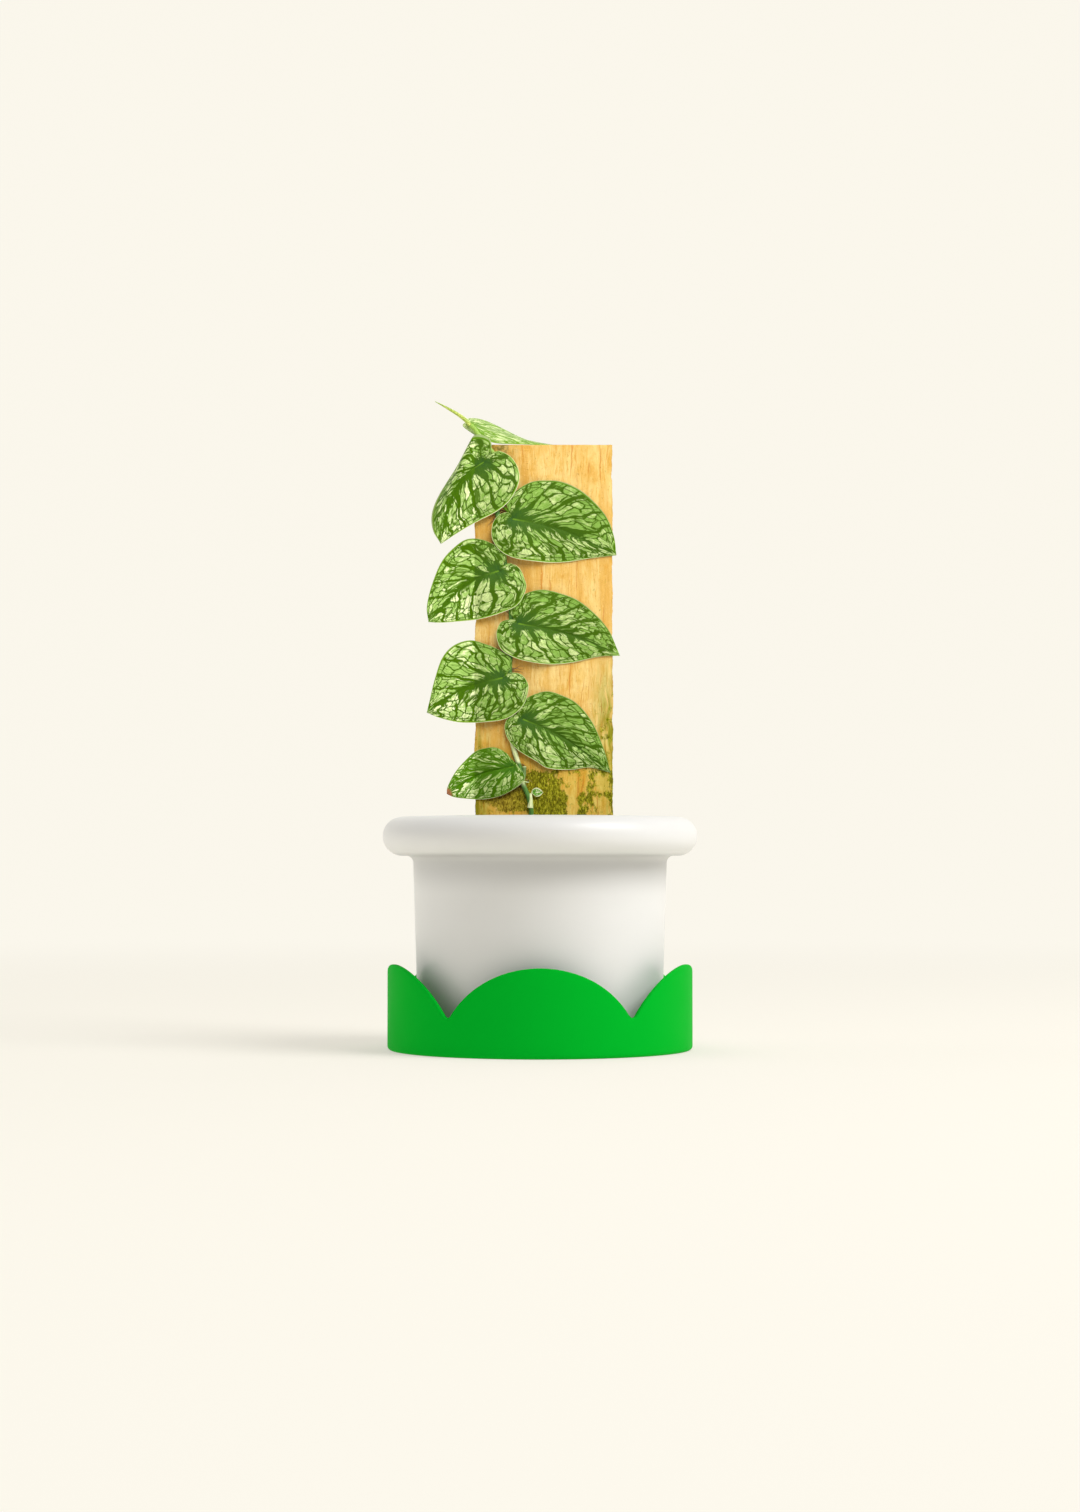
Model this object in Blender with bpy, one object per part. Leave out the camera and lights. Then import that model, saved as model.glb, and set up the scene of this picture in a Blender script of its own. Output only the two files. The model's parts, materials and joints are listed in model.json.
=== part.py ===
"""A shingle plant climbing a rough board, in a glazed pot on a scalloped saucer.

Sizes are in millimetres until a mesh is made, and meshes are in metres. +Z is up, the
plant faces -Y, and the origin is the middle of the saucer's underside.
"""

import math

import bmesh
import bpy
from mathutils import Matrix, Vector, noise

MM = 0.001
GAP = 0.35                    # clearance between pieces that rest on each other

SAUCER_RADIUS = 98.0
SAUCER_FLOOR = 3.0
SAUCER_WALL = 2.8
SAUCER_CORNER = 2.6           # outside radius between floor and wall
SAUCER_LIP = 0.8              # softened edge along the scallops
SCALLOPS = 5
SCALLOP_STEPS = 7             # steps from a crown to a notch
SCALLOP_CROWN = 55.5          # height of the crowns
SCALLOP_RADIUS = 73.0         # radius of each arc, measured along the wall
NOTCH_RADIUS = 3.5            # rounding at the bottom of each notch

POT_SEGMENTS = 48
POT_FOOT = SAUCER_FLOOR + GAP
POT_FOOT_RADIUS = 75.0
POT_FOOT_RING = 9.0           # width of the ring that the pot stands on
POT_FOOT_RECESS = 2.0
POT_FLOOR = 6.0
POT_CORNER = 4.0              # inside, between floor and wall
POT_COVE = 4.5                # height of the hollow curve under the rim
POT_LOW_RADIUS = 78.2         # outside of the body just above the foot
POT_HIGH_RADIUS = 81.6        # outside of the body just under the rim
POT_INNER_LOW = 71.0
POT_INNER_HIGH = 76.2
POT_TOP = 149.3
RIM_RADIUS = 101.25           # outside of the rolled rim
RIM_ROLL = 12.5               # radius of the roll
RIM_SHOULDER = 9.0            # drop from the roll's crest to the inner wall
RIM_STEPS = 6                 # facets round the roll
SHOULDER_STEPS = 3
DRAIN_RADIUS = 7.0

SOIL_TOP = 138.0
SOIL_RINGS = 4
SOIL_LUMPS = 1.6              # how far the mix heaps up or dips
SOIL_LUMP_WIDTH = 17.0
HOLE_ABOVE_SOIL = 20.0        # how far the cutters reach out of the mix
HOLE_SIDES = 12

BOARD_LEFT = -42.0
BOARD_RIGHT = 47.0
BOARD_FRONT = -4.0
BOARD_THICK = 19.0
BOARD_BOTTOM = 22.0
BOARD_TOP = 389.7
BOARD_ROW = 9.0               # spacing of the points along its rough edges
BOARD_RAGGED = 0.9            # how far the edges wander
BOARD_WAVE = 21.0             # length of their slow waves
BOARD_RIPPLE = 7.0            # and of their quick ones
BOARD_TRUE_END = 12.0         # they start to wander over this height above the soil

STEM_RADIUS = 1.5
STEM_SIDES = 8
STEM_RINGS = 65
STEM_IN_SOIL = 112.0
PETIOLE_RADIUS = 0.95
PETIOLE_SIDES = 6
PETIOLE_RISE = 9.0            # a petiole leaves the stem this far above its blade's base
PETIOLE_DROP = -6.0           # the lowest leaf's petiole leaves it from below instead

BLADE = 0.7                   # thickness of a blade
BLADE_REST = 0.75             # a pressed blade's middle, off the board
BLADE_OVER_STEM = 3.5         # extra height where a blade passes over the stem
BLADE_TUCK = 1.25             # a blade's lower part lies this much over the next one
STEM_FLAT = 13.0              # half width of the level stretch over the stem
STEM_FADE = 32.0              # where a blade is back down on the board
OVERHANG_DROOP = 2.4          # how far blades bend back past the board's edge
OVERHANG_REACH = 30.0
LEAF_ROWS = 22
LEAF_COLUMNS = 3
LOBE_SHARE = 0.2              # share of a margin whose rows fan from the blade's base
VEIN_SWEEP = 2.4              # how strongly the later rows lean to the tip

# Outlines are drawn on the board: x to the right and z up. "attach" is where the petiole
# joins the blade, and every other point is measured from it. Each side runs from the
# notch between the lobes round to the tip. "tuck" gives the heights between which a
# blade rises from under the leaf above it to over the leaf below it.
LEAVES = {
    "leaf_left_1": {
        "attach": (-36.5, 378.0), "notch": (2.5, 3.0), "tip": (-27.5, -52.5),
        "midrib": [(-9.0, -6.5), (-18.5, -18.5), (-24.5, -33.0)],
        "upper": [(5.0, 7.5), (4.5, 14.5), (-1.0, 17.5), (-9.0, 17.5), (-17.0, 15.0), (-25.0, 9.0),
                  (-32.0, -1.5), (-36.0, -13.0), (-37.5, -24.0), (-36.5, -34.0), (-33.0, -43.5)],
        "lower": [(4.5, 5.5), (10.5, 7.0), (18.0, 3.0), (22.5, -4.5), (23.0, -13.0),
                  (18.5, -23.0), (10.5, -31.0), (-2.5, -38.0), (-16.5, -45.5)],
        "tuck": (373.0, 362.0), "stem_side": -1, "petiole_rise": 3.0,
    },
    "leaf_right_1": {
        "attach": (-17.5, 341.0), "notch": (-2.5, 4.5), "tip": (66.8, -23.0),
        "midrib": [(30.0, -6.0)],
        "upper": [(-4.0, 12.0), (4.5, 20.0), (13.0, 24.5), (22.5, 25.5), (32.0, 24.5),
                  (43.0, 19.5), (52.5, 11.5), (60.6, 1.5), (65.3, -11.0)],
        "lower": [(-6.5, 4.0), (-10.5, 1.5), (-13.5, -5.0), (-13.0, -13.5), (-7.5, -21.0),
                  (2.0, -25.5), (17.5, -27.5), (33.5, -27.5), (49.5, -25.0)],
        "tuck": (339.0, 325.0), "stem_side": 1,
    },
    "leaf_left_2": {
        "attach": (-26.5, 307.5), "notch": (2.5, 3.0), "tip": (-45.5, -32.5),
        "midrib": [(-22.0, -8.5)],
        "upper": [(5.0, 8.5), (3.0, 13.0), (-4.0, 17.5), (-12.0, 20.5), (-21.0, 20.6),
                  (-29.0, 15.6), (-37.2, 6.2), (-43.5, -9.0), (-46.5, -22.5)],
        "lower": [(7.0, 5.0), (13.0, 2.0), (16.5, -5.0), (17.5, -12.0), (12.0, -22.0),
                  (0.5, -27.5), (-12.0, -31.0), (-28.5, -32.5), (-38.0, -33.0)],
        "tuck": (312.0, 294.0), "stem_side": -1,
    },
    "leaf_right_2": {
        "attach": (-14.0, 273.5), "notch": (-2.5, 3.0), "tip": (65.5, -20.5),
        "midrib": [(33.0, -6.5)],
        "upper": [(-5.4, 7.5), (-2.4, 13.5), (5.0, 19.5), (15.5, 22.0), (26.5, 20.0),
                  (39.0, 15.0), (51.0, 5.0), (58.6, -4.5), (63.4, -15.3)],
        "lower": [(-7.0, 2.5), (-11.5, 0.5), (-14.0, -6.5), (-12.0, -15.0), (-6.5, -20.0),
                  (4.0, -24.0), (18.5, -26.0), (34.0, -25.0), (52.0, -21.0)],
        "tuck": (275.0, 261.0), "stem_side": 1,
    },
    "leaf_left_3": {
        "attach": (-24.0, 238.5), "notch": (2.5, 2.7), "tip": (-49.0, -22.0),
        "midrib": [(-24.5, -6.5)],
        "upper": [(5.5, 7.0), (5.0, 13.0), (-2.0, 18.0), (-11.5, 22.0), (-21.0, 24.5),
                  (-31.4, 21.4), (-39.1, 13.2), (-44.1, -1.3), (-47.0, -13.5)],
        "lower": [(6.0, 3.5), (11.5, 2.5), (15.5, -2.0), (16.5, -7.5), (13.0, -18.0),
                  (3.0, -26.0), (-11.5, -28.5), (-27.5, -28.5), (-40.5, -25.5)],
        "tuck": (248.0, 228.0), "stem_side": -1,
    },
    "leaf_right_3": {
        "attach": (-11.0, 212.0), "notch": (-3.0, 3.0), "tip": (56.5, -34.5),
        "midrib": [(26.5, -12.0)],
        "upper": [(-3.5, 7.0), (0.5, 12.0), (7.5, 16.0), (16.0, 18.0), (25.0, 15.5),
                  (35.0, 10.0), (44.5, -1.5), (51.0, -16.0), (54.5, -27.0)],
        "lower": [(-7.5, 2.5), (-11.5, -3.0), (-10.5, -11.0), (-5.5, -18.0), (1.5, -23.0),
                  (8.5, -27.0), (16.0, -31.5), (30.0, -32.5), (43.0, -31.0)],
        "tuck": None, "stem_side": 1,
    },
    "leaf_left_4": {
        "attach": (-16.5, 181.5), "notch": (1.5, 2.0), "tip": (-43.5, -17.5),
        "midrib": [(-22.5, -5.0)],
        "upper": [(-1.0, 4.0), (-5.0, 8.5), (-11.0, 12.0), (-18.0, 12.0), (-25.5, 9.5),
                  (-34.0, 1.5), (-39.0, -5.0), (-43.0, -13.0)],
        "lower": [(3.0, -0.5), (6.0, -4.5), (6.0, -9.5), (-2.0, -15.5), (-11.0, -19.5),
                  (-21.0, -21.0), (-32.0, -20.5), (-39.0, -19.5)],
        "tuck": None, "stem_side": -1, "petiole_rise": PETIOLE_DROP,
    },
}

# The first leaf folds back along this line, past the board's left edge. The line is
# measured from the leaf's "attach" point.
FOLD_FROM = (-3.2, 15.4)
FOLD_TO = (-26.4, -38.0)
FOLD_RADIUS = 4.0
FOLD_ANGLE = math.radians(80.0)
FOLD_TIP_ANGLE = math.radians(35.0)
FOLD_EASE = (5.0, 88.0)      # the fold opens between these distances along its line

# The stem's route up the board, from the soil to the growing point.
STEM_ROUTE = [
    (-5.5, 147.0), (-6.0, 155.5), (-8.0, 163.5), (-11.5, 171.5), (-13.0, 180.5),
    (-17.0, 193.5), (-19.0, 205.0), (-19.0, 216.0), (-19.3, 231.0), (-19.6, 243.0),
    (-18.9, 256.5), (-18.6, 268.0), (-18.6, 278.0), (-19.2, 290.0), (-20.8, 302.0),
    (-22.8, 314.0), (-24.4, 327.5), (-26.5, 339.0), (-27.5, 348.5), (-26.0, 359.5),
    (-26.5, 372.5), (-28.2, 380.5), (-32.0, 386.0), (-37.0, 390.6),
]
STEM_TOP = [(-40.0, -4.7, 395.8), (-42.2, -3.7, 399.6), (-45.0, -3.0, 402.3)]
SHEATH = ((190.0, 196.0), 0.12)           # heights and extra radius of the pale sheath
SHEATH_FADE = 8.0
NODES = (156.0, 172.5, 182.5, 216.0, 243.0, 278.0, 309.0, 345.0, 380.0)
NODE_SWELL = 0.12
NODE_LENGTH = 3.0

BRACT = [(-6.3, 155.0), (-6.0, 159.5), (-6.0, 164.2)]   # pale bract at the lowest node
BRACT_RADIUS = (1.95, 0.8)
STUB = [(-11.4, 172.5), (-10.2, 176.5), (-10.1, 181.6)]  # a cut leaf stalk
STUB_RADIUS = 1.25
ROOTLET = [(-11.0, 171.8), (-8.9, 171.6), (-7.0, 171.4)]
ROOTLET_RADIUS = 0.7

TINY_ATTACH = (-5.0, 165.0)
TINY_TIP = (7.0, -0.1)
TINY_NOTCH = (-0.6, 0.0)
TINY_UPPER = [(0.3, 1.8), (2.7, 3.0), (5.2, 2.0)]
TINY_LOWER = [(0.7, -1.5), (2.7, -2.9), (5.2, -2.2)]
TINY_OFF_BOARD = 2.3
TINY_THICK = 0.6
TINY_ROWS = 8
TINY_COLUMNS = 2

# The youngest leaf lies across the board's end, its back edge raised. Its two margins
# and its midrib are drawn in space, from the notch to the tip.
TOP_NOTCH = (-48.6, 1.9, 405.4)
TOP_FRONT = [(-50.0, 0.8, 402.8), (-45.5, -0.8, 398.8), (-38.0, -1.8, 394.2),
             (-29.0, -2.2, 391.2), (-19.0, -2.0, 390.6), (-6.0, -0.5, 390.4), (8.0, 3.5, 390.4)]
TOP_BACK = [(-48.5, 6.0, 407.8), (-44.0, 18.0, 410.5), (-37.0, 29.0, 410.9),
            (-27.0, 36.0, 407.5), (-15.0, 37.5, 401.7), (-2.0, 32.0, 395.9), (10.0, 22.0, 391.9)]
TOP_ATTACH = (-47.3, 2.2, 404.4)
TOP_MIDRIB = [(-36.0, 9.5, 402.5), (-22.0, 14.0, 398.2), (-5.0, 14.5, 393.5), (10.0, 12.0, 391.2)]
TOP_TIP = (23.0, 9.0, 390.4)
TOP_PETIOLE = [(-46.3, 0.6, 403.4), (-45.3, -1.1, 402.5)]

SPEAR = [(-48.0, -2.7, 405.8), (-52.8, -2.6, 409.5), (-58.2, -2.4, 412.8), (-63.1, -2.2, 415.6),
         (-68.0, -2.0, 418.2)]
SPEAR_RADII = (1.35, 1.3, 1.1, 0.9, 0.55, 0.15)
SPEAR_SIDES = 8


def clamp(value, low=0.0, high=1.0):
    return max(low, min(high, value))


def smoothstep(value):
    value = clamp(value)
    return value * value * (3.0 - 2.0 * value)


def spline(points, steps=10):
    """Return points along a Catmull-Rom curve through the given ones."""
    points = [Vector(point) for point in points]
    ends = [points[0] * 2 - points[1]] + points + [points[-1] * 2 - points[-2]]
    curve = []
    for i in range(1, len(ends) - 2):
        a, b, c, d = ends[i - 1:i + 3]
        for step in range(steps):
            t = step / steps
            curve.append(0.5 * (2 * b + (c - a) * t + (2 * a - 5 * b + 4 * c - d) * t ** 2
                                + (3 * b - a - 3 * c + d) * t ** 3))
    return curve + [points[-1]]


def along(curve, fraction):
    """Return the point at a fraction of a curve's length."""
    lengths = [(b - a).length for a, b in zip(curve, curve[1:])]
    target = fraction * sum(lengths)
    for start, end, length in zip(curve, curve[1:], lengths):
        if target <= length:
            return start.lerp(end, target / length)
        target -= length
    return curve[-1].copy()


def even(curve, count):
    """Return count + 1 points spaced evenly along a curve."""
    return [along(curve, i / count) for i in range(count + 1)]


def material(name, colour, roughness, metallic=0.0):
    made = bpy.data.materials.new(name)
    made.use_nodes = True
    shader = made.node_tree.nodes["Principled BSDF"]
    shader.inputs["Base Color"].default_value = (*colour, 1.0)
    shader.inputs["Roughness"].default_value = roughness
    shader.inputs["Metallic"].default_value = metallic
    return made


def finish(name, bm, look, sharp=40.0):
    """Turn a bmesh in millimetres into a named object in metres."""
    bmesh.ops.transform(bm, matrix=Matrix.Scale(MM, 4), verts=bm.verts)
    bmesh.ops.recalc_face_normals(bm, faces=bm.faces)
    mesh = bpy.data.meshes.new(name)
    bm.to_mesh(mesh)
    bm.free()
    mesh.shade_smooth()
    mesh.set_sharp_from_angle(angle=math.radians(sharp))
    mesh.materials.append(look)
    thing = bpy.data.objects.new(name, mesh)
    bpy.context.scene.collection.objects.link(thing)
    return thing


def combine(target, others, operation):
    """Apply one Boolean of several objects to a target, and remove them."""
    for other in others:
        modifier = target.modifiers.new(operation.title(), "BOOLEAN")
        modifier.operation = operation
        modifier.solver = "EXACT"
        modifier.object = other
    bpy.context.view_layer.update()
    evaluated = target.evaluated_get(bpy.context.evaluated_depsgraph_get())
    result = bpy.data.meshes.new_from_object(evaluated)
    target.modifiers.clear()
    target.data = result
    for other in others:
        bpy.data.objects.remove(other)


def loft(bm, rings, closed=False):
    """Bridge rings of equal length with quads. A closed loft joins last to first."""
    rows = [[bm.verts.new(point) for point in ring] for ring in rings]
    pairs = list(zip(rows, rows[1:]))
    if closed:
        pairs.append((rows[-1], rows[0]))
    for lower, upper in pairs:
        for i in range(len(lower)):
            j = (i + 1) % len(lower)
            bm.faces.new((lower[i], lower[j], upper[j], upper[i]))
    return rows


def tube(points, radii, sides):
    """Return a bmesh of a capped tube that keeps its twist low along its points."""
    bm = bmesh.new()
    points = [Vector(point) for point in points]
    side = None
    rings = []
    for i, point in enumerate(points):
        ahead = (points[min(i + 1, len(points) - 1)] - points[max(i - 1, 0)]).normalized()
        if side is None:
            side = ahead.orthogonal().normalized()
        side = (side - ahead * side.dot(ahead)).normalized()
        other = ahead.cross(side)
        turns = [2 * math.pi * k / sides for k in range(sides)]
        rings.append([point + radii[i] * (math.cos(t) * side + math.sin(t) * other) for t in turns])
    rows = loft(bm, rings)
    bm.faces.new(rows[0])
    bm.faces.new(rows[-1])
    return bm


def polar(radius, angle, height):
    return Vector((radius * math.cos(angle), radius * math.sin(angle), height))


def scallop_height(distance):
    """Height of the saucer's edge at a distance along the wall from a crown."""
    half = math.pi * SAUCER_RADIUS / SCALLOPS
    centre = SCALLOP_CROWN - SCALLOP_RADIUS
    reach = SCALLOP_RADIUS + NOTCH_RADIUS
    notch_centre = centre + math.sqrt(reach ** 2 - half ** 2)
    if distance > half * SCALLOP_RADIUS / reach:
        return notch_centre - math.sqrt(NOTCH_RADIUS ** 2 - (half - distance) ** 2)
    return centre + math.sqrt(SCALLOP_RADIUS ** 2 - distance ** 2)


def build_saucer():
    """A flat-bottomed dish whose wall rises in five scallops, one at the front."""
    half = math.pi * SAUCER_RADIUS / SCALLOPS
    stations = []
    for scallop in range(SCALLOPS):
        middle = -math.pi / 2 + 2 * math.pi * scallop / SCALLOPS
        for step in range(-SCALLOP_STEPS, SCALLOP_STEPS):
            distance = half * math.sin(math.pi / 2 * step / SCALLOP_STEPS)
            stations.append((middle + distance / SAUCER_RADIUS, scallop_height(abs(distance))))
    outer = SAUCER_RADIUS
    inner = outer - SAUCER_WALL
    corner = SAUCER_CORNER
    profile = [(outer - corner, 0.0, 0), (outer - 0.3 * corner, 0.3 * corner, 0), (outer, corner, 0),
               (outer, -SAUCER_LIP, 1), (outer - SAUCER_LIP, 0.0, 1),
               (inner + SAUCER_LIP, 0.0, 1), (inner, -SAUCER_LIP, 1),
               (inner, SAUCER_FLOOR + 1.5, 0), (inner - 1.5, SAUCER_FLOOR, 0)]
    bm = bmesh.new()
    rings = [[polar(radius, angle, height + top * on_edge) for angle, top in stations]
             for radius, height, on_edge in profile]
    rows = loft(bm, rings)
    bm.faces.new(rows[0])
    bm.faces.new(rows[-1])
    return finish("saucer", bm, material("saucer green", (0.0, 0.42, 0.03), 0.45))


def pot_profile():
    """The pot's outline, up the outside, over the roll and down the inside."""
    foot = POT_FOOT
    rim_base = POT_TOP - 2 * RIM_ROLL
    rim_centre = POT_TOP - RIM_ROLL
    roll = RIM_RADIUS - RIM_ROLL
    floor = foot + POT_FLOOR
    foot_corner = POT_LOW_RADIUS - POT_FOOT_RADIUS
    ring = POT_FOOT_RADIUS - POT_FOOT_RING
    outline = [(DRAIN_RADIUS, foot + POT_FOOT_RECESS), (ring - POT_FOOT_RECESS, foot + POT_FOOT_RECESS),
               (ring, foot), (POT_FOOT_RADIUS, foot),
               (POT_FOOT_RADIUS + 0.75 * foot_corner, foot + 0.45 * foot_corner),
               (POT_LOW_RADIUS, foot + 1.4 * foot_corner), (POT_HIGH_RADIUS, rim_base - POT_COVE),
               (POT_HIGH_RADIUS + 0.3 * POT_COVE, rim_base - 0.3 * POT_COVE),
               (POT_HIGH_RADIUS + 0.9 * POT_COVE, rim_base)]
    for step in range(RIM_STEPS + 1):
        angle = math.pi * (step / RIM_STEPS - 0.5)
        outline.append((roll + RIM_ROLL * math.cos(angle), rim_centre + RIM_ROLL * math.sin(angle)))
    for step in range(1, SHOULDER_STEPS + 1):
        angle = math.pi / 2 * step / SHOULDER_STEPS
        outline.append((roll - (roll - POT_INNER_HIGH) * math.sin(angle),
                        POT_TOP - RIM_SHOULDER * (1 - math.cos(angle))))
    corner = corner_profile(POT_INNER_LOW, floor)
    return outline + corner[::-1] + [(DRAIN_RADIUS, floor)]


def corner_profile(wall, floor):
    """The round corner between a floor and a wall of this radius, outwards and up."""
    slack = 0.3 * POT_CORNER
    return [(wall - POT_CORNER, floor), (wall - slack, floor + slack), (wall, floor + POT_CORNER)]


def turned(radius, height):
    """One level ring of the pot, or of the soil in it."""
    return [polar(radius, 2 * math.pi * i / POT_SEGMENTS, height) for i in range(POT_SEGMENTS)]


def build_pot():
    """A glazed pot with a half-round rolled rim and a drain hole over its recessed foot."""
    bm = bmesh.new()
    loft(bm, [turned(radius, height) for radius, height in pot_profile()], closed=True)
    return finish("pot", bm, material("white glaze", (0.86, 0.85, 0.83), 0.12))


def ragged(height, seed):
    """How far the board's rough edge stands out at a height; it is true inside the soil."""
    wave = noise.noise(Vector((height / BOARD_WAVE, seed, 0.5)))
    ripple = noise.noise(Vector((height / BOARD_RIPPLE, seed, 3.5)))
    return BOARD_RAGGED * (wave + 0.5 * ripple) * smoothstep((height - SOIL_TOP) / BOARD_TRUE_END)


def build_soil(board_slot, stem_hole):
    """Potting mix that fills the pot, with a slot for the board and a hole for the stem."""
    floor = POT_FOOT + POT_FLOOR + GAP
    low = POT_INNER_LOW - GAP
    slope = (POT_INNER_HIGH - POT_INNER_LOW) / (POT_TOP - RIM_SHOULDER - floor)
    shoulder = 1.2 * SOIL_LUMPS
    edge = low + slope * (SOIL_TOP - shoulder - floor)
    bm = bmesh.new()
    rings = [turned(radius, height) for radius, height in corner_profile(low, floor)]
    rings.append(turned(edge, SOIL_TOP - shoulder))
    for ring in range(SOIL_RINGS, 0, -1):
        spots = turned((edge - shoulder) * ring / SOIL_RINGS, 0.0)
        lift = [SOIL_TOP + SOIL_LUMPS * noise.noise(spot / SOIL_LUMP_WIDTH) for spot in spots]
        rings.append([Vector((spot.x, spot.y, height)) for spot, height in zip(spots, lift)])
    rows = loft(bm, rings)
    bm.faces.new(rows[0])
    top = bm.verts.new((0.0, 0.0, SOIL_TOP))
    for i in range(POT_SEGMENTS):
        bm.faces.new((rows[-1][i], rows[-1][(i + 1) % POT_SEGMENTS], top))
    soil = finish("soil", bm, material("potting mix", (0.035, 0.022, 0.014), 0.95))
    combine(soil, [board_slot, stem_hole], "DIFFERENCE")
    return soil


def box(name, low, high):
    bm = bmesh.new()
    made = bmesh.ops.create_cube(bm, size=1.0)
    low, high = Vector(low), Vector(high)
    bmesh.ops.scale(bm, vec=high - low, verts=made["verts"])
    bmesh.ops.translate(bm, vec=(low + high) / 2, verts=made["verts"])
    return finish(name, bm, material(name, (0.5, 0.5, 0.5), 0.9))


def build_board():
    """A rough-sawn board with two ragged edges, standing in the soil."""
    count = round((BOARD_TOP - BOARD_BOTTOM) / BOARD_ROW)
    front, back = BOARD_FRONT, BOARD_FRONT + BOARD_THICK
    rings = []
    for row in range(count + 1):
        height = BOARD_BOTTOM + (BOARD_TOP - BOARD_BOTTOM) * row / count
        left = BOARD_LEFT - ragged(height, 1.0)
        right = BOARD_RIGHT + ragged(height, 5.0)
        rings.append([Vector((left, front, height)), Vector((right, front, height)),
                      Vector((right, back, height)), Vector((left, back, height))])
    bm = bmesh.new()
    rows = loft(bm, rings)
    bm.faces.new(rows[0])
    bm.faces.new(rows[-1])
    return finish("board", bm, material("raw board", (0.72, 0.45, 0.16), 0.85))


def stem_radius(height):
    """The stem swells a little at each node and where the pale sheath wraps it."""
    (low, high), extra = SHEATH
    rise = smoothstep((height - low) / SHEATH_FADE + 1.0)
    fall = smoothstep((high - height) / SHEATH_FADE + 1.0)
    radius = STEM_RADIUS + extra * rise * fall
    for node in NODES:
        radius += NODE_SWELL * math.exp(-((height - node) / NODE_LENGTH) ** 2)
    return min(radius, STEM_RADIUS + extra)


def on_board(x, height, off):
    """A point in front of the board, at a distance off its face."""
    return Vector((x, BOARD_FRONT - off, height))


STEM_LINE = spline(STEM_ROUTE, steps=6)


def stem_at(height):
    """The stem's x at a height on the board."""
    return min(STEM_LINE, key=lambda point: abs(point.y - height)).x


def stem_distance(x, height):
    """How far a spot on the board is from the stem, its loose top included."""
    spot = Vector((x, height))
    top = [Vector((point[0], point[2])) for point in STEM_TOP]
    return min((spot - point).length for point in STEM_LINE + top)


def build_vine():
    """The climbing stem, with its sheath, lowest bract, a cut stalk and a rootlet."""
    route = [on_board(x, z, GAP + stem_radius(z)) for x, z in STEM_ROUTE]
    foot = route[0].copy()
    foot.z = STEM_IN_SOIL
    line = even(spline([foot] + route + [Vector(point) for point in STEM_TOP]), STEM_RINGS - 1)
    radii = [stem_radius(point.z) for point in line]
    vine = finish("vine", tube(line, radii, STEM_SIDES), material("vine", (0.12, 0.26, 0.05), 0.5))
    low, high = BRACT_RADIUS
    look = vine.data.materials[0]
    bract_line = [on_board(x, z, GAP + low) for x, z in BRACT]
    bract = finish("bract", tube(bract_line, (low, 0.5 * (low + high), high), STEM_SIDES), look)
    stub_line = [on_board(x, z, GAP + STUB_RADIUS) for x, z in STUB]
    stub = finish("stub", tube(stub_line, (STUB_RADIUS,) * 3, STEM_SIDES), look)
    root_line = [on_board(x, z, GAP + 2 * ROOTLET_RADIUS) for x, z in ROOTLET]
    rootlet = finish("rootlet", tube(root_line, (ROOTLET_RADIUS,) * 3, PETIOLE_SIDES), look)
    combine(vine, [bract, stub, rootlet], "UNION")
    return vine, line


def rib_fraction(fraction):
    """Where on the midrib the row that ends at this fraction of a margin starts.

    The first rows fan out from the base, and later ones lean to the tip as veins do.
    """
    return clamp((fraction - LOBE_SHARE) / (1.0 - LOBE_SHARE)) ** VEIN_SWEEP


def blade(name, midrib, sides, place, look, rows=LEAF_ROWS, columns=LEAF_COLUMNS, thick=BLADE):
    """One closed blade. Its rows fan from the midrib to each margin and lean to the tip.

    Both faces are the same triangles moved apart, so a waved blade never crosses itself.
    """
    bm = bmesh.new()
    rib = [along(midrib, rib_fraction(row / rows)) for row in range(rows)]
    tip = bm.verts.new(place(along(midrib, 1.0)))
    base = bm.verts.new(place(rib[0]))
    spine = [base if row / rows <= LOBE_SHARE else bm.verts.new(place(rib[row])) for row in range(rows)]
    grids = []
    for side in sides:
        grid = []
        for row in range(rows):
            if row == 0 and grids:
                grid.append(grids[0][0])
                continue
            margin = along(side, row / rows)
            line = [spine[row]]
            for column in range(1, columns + 1):
                line.append(bm.verts.new(place(rib[row].lerp(margin, column / columns))))
            grid.append(line)
        grids.append(grid)
    for turn, grid in zip((1, -1), grids):
        for row in range(rows - 1):
            for column in range(columns):
                near, far = grid[row][column], grid[row + 1][column + 1]
                if near is not grid[row + 1][column]:
                    bm.faces.new((near, grid[row + 1][column], far)[::turn])
                bm.faces.new((near, far, grid[row][column + 1])[::turn])
        for column in range(columns):
            bm.faces.new((grid[-1][column], tip, grid[-1][column + 1])[::turn])
    bm.normal_update()
    front = list(bm.verts)
    faces = [tuple(face.verts) for face in bm.faces]
    rim = [(edge.link_loops[0].vert, edge.link_loops[0].link_loop_next.vert)
           for edge in bm.edges if edge.is_boundary]
    behind = {}
    for vert in front:
        shift = vert.normal * thick / 2
        behind[vert] = bm.verts.new(vert.co - shift)
        vert.co += shift
    for corners in faces:
        bm.faces.new([behind[vert] for vert in reversed(corners)])
    for first, second in rim:
        bm.faces.new((second, first, behind[first], behind[second]))
    return finish(name, bm, look, sharp=60.0)


def leaf_curves(leaf):
    """A leaf's midrib and its two margins, as curves on the board."""
    attach = Vector(leaf["attach"])
    tip = attach + Vector(leaf["tip"])
    notch = attach + Vector(leaf["notch"])
    midrib = spline([attach] + [attach + Vector(point) for point in leaf["midrib"]] + [tip])
    sides = [spline([notch] + [attach + Vector(point) for point in leaf[side]] + [tip])
             for side in ("upper", "lower")]
    return midrib, sides


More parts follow.
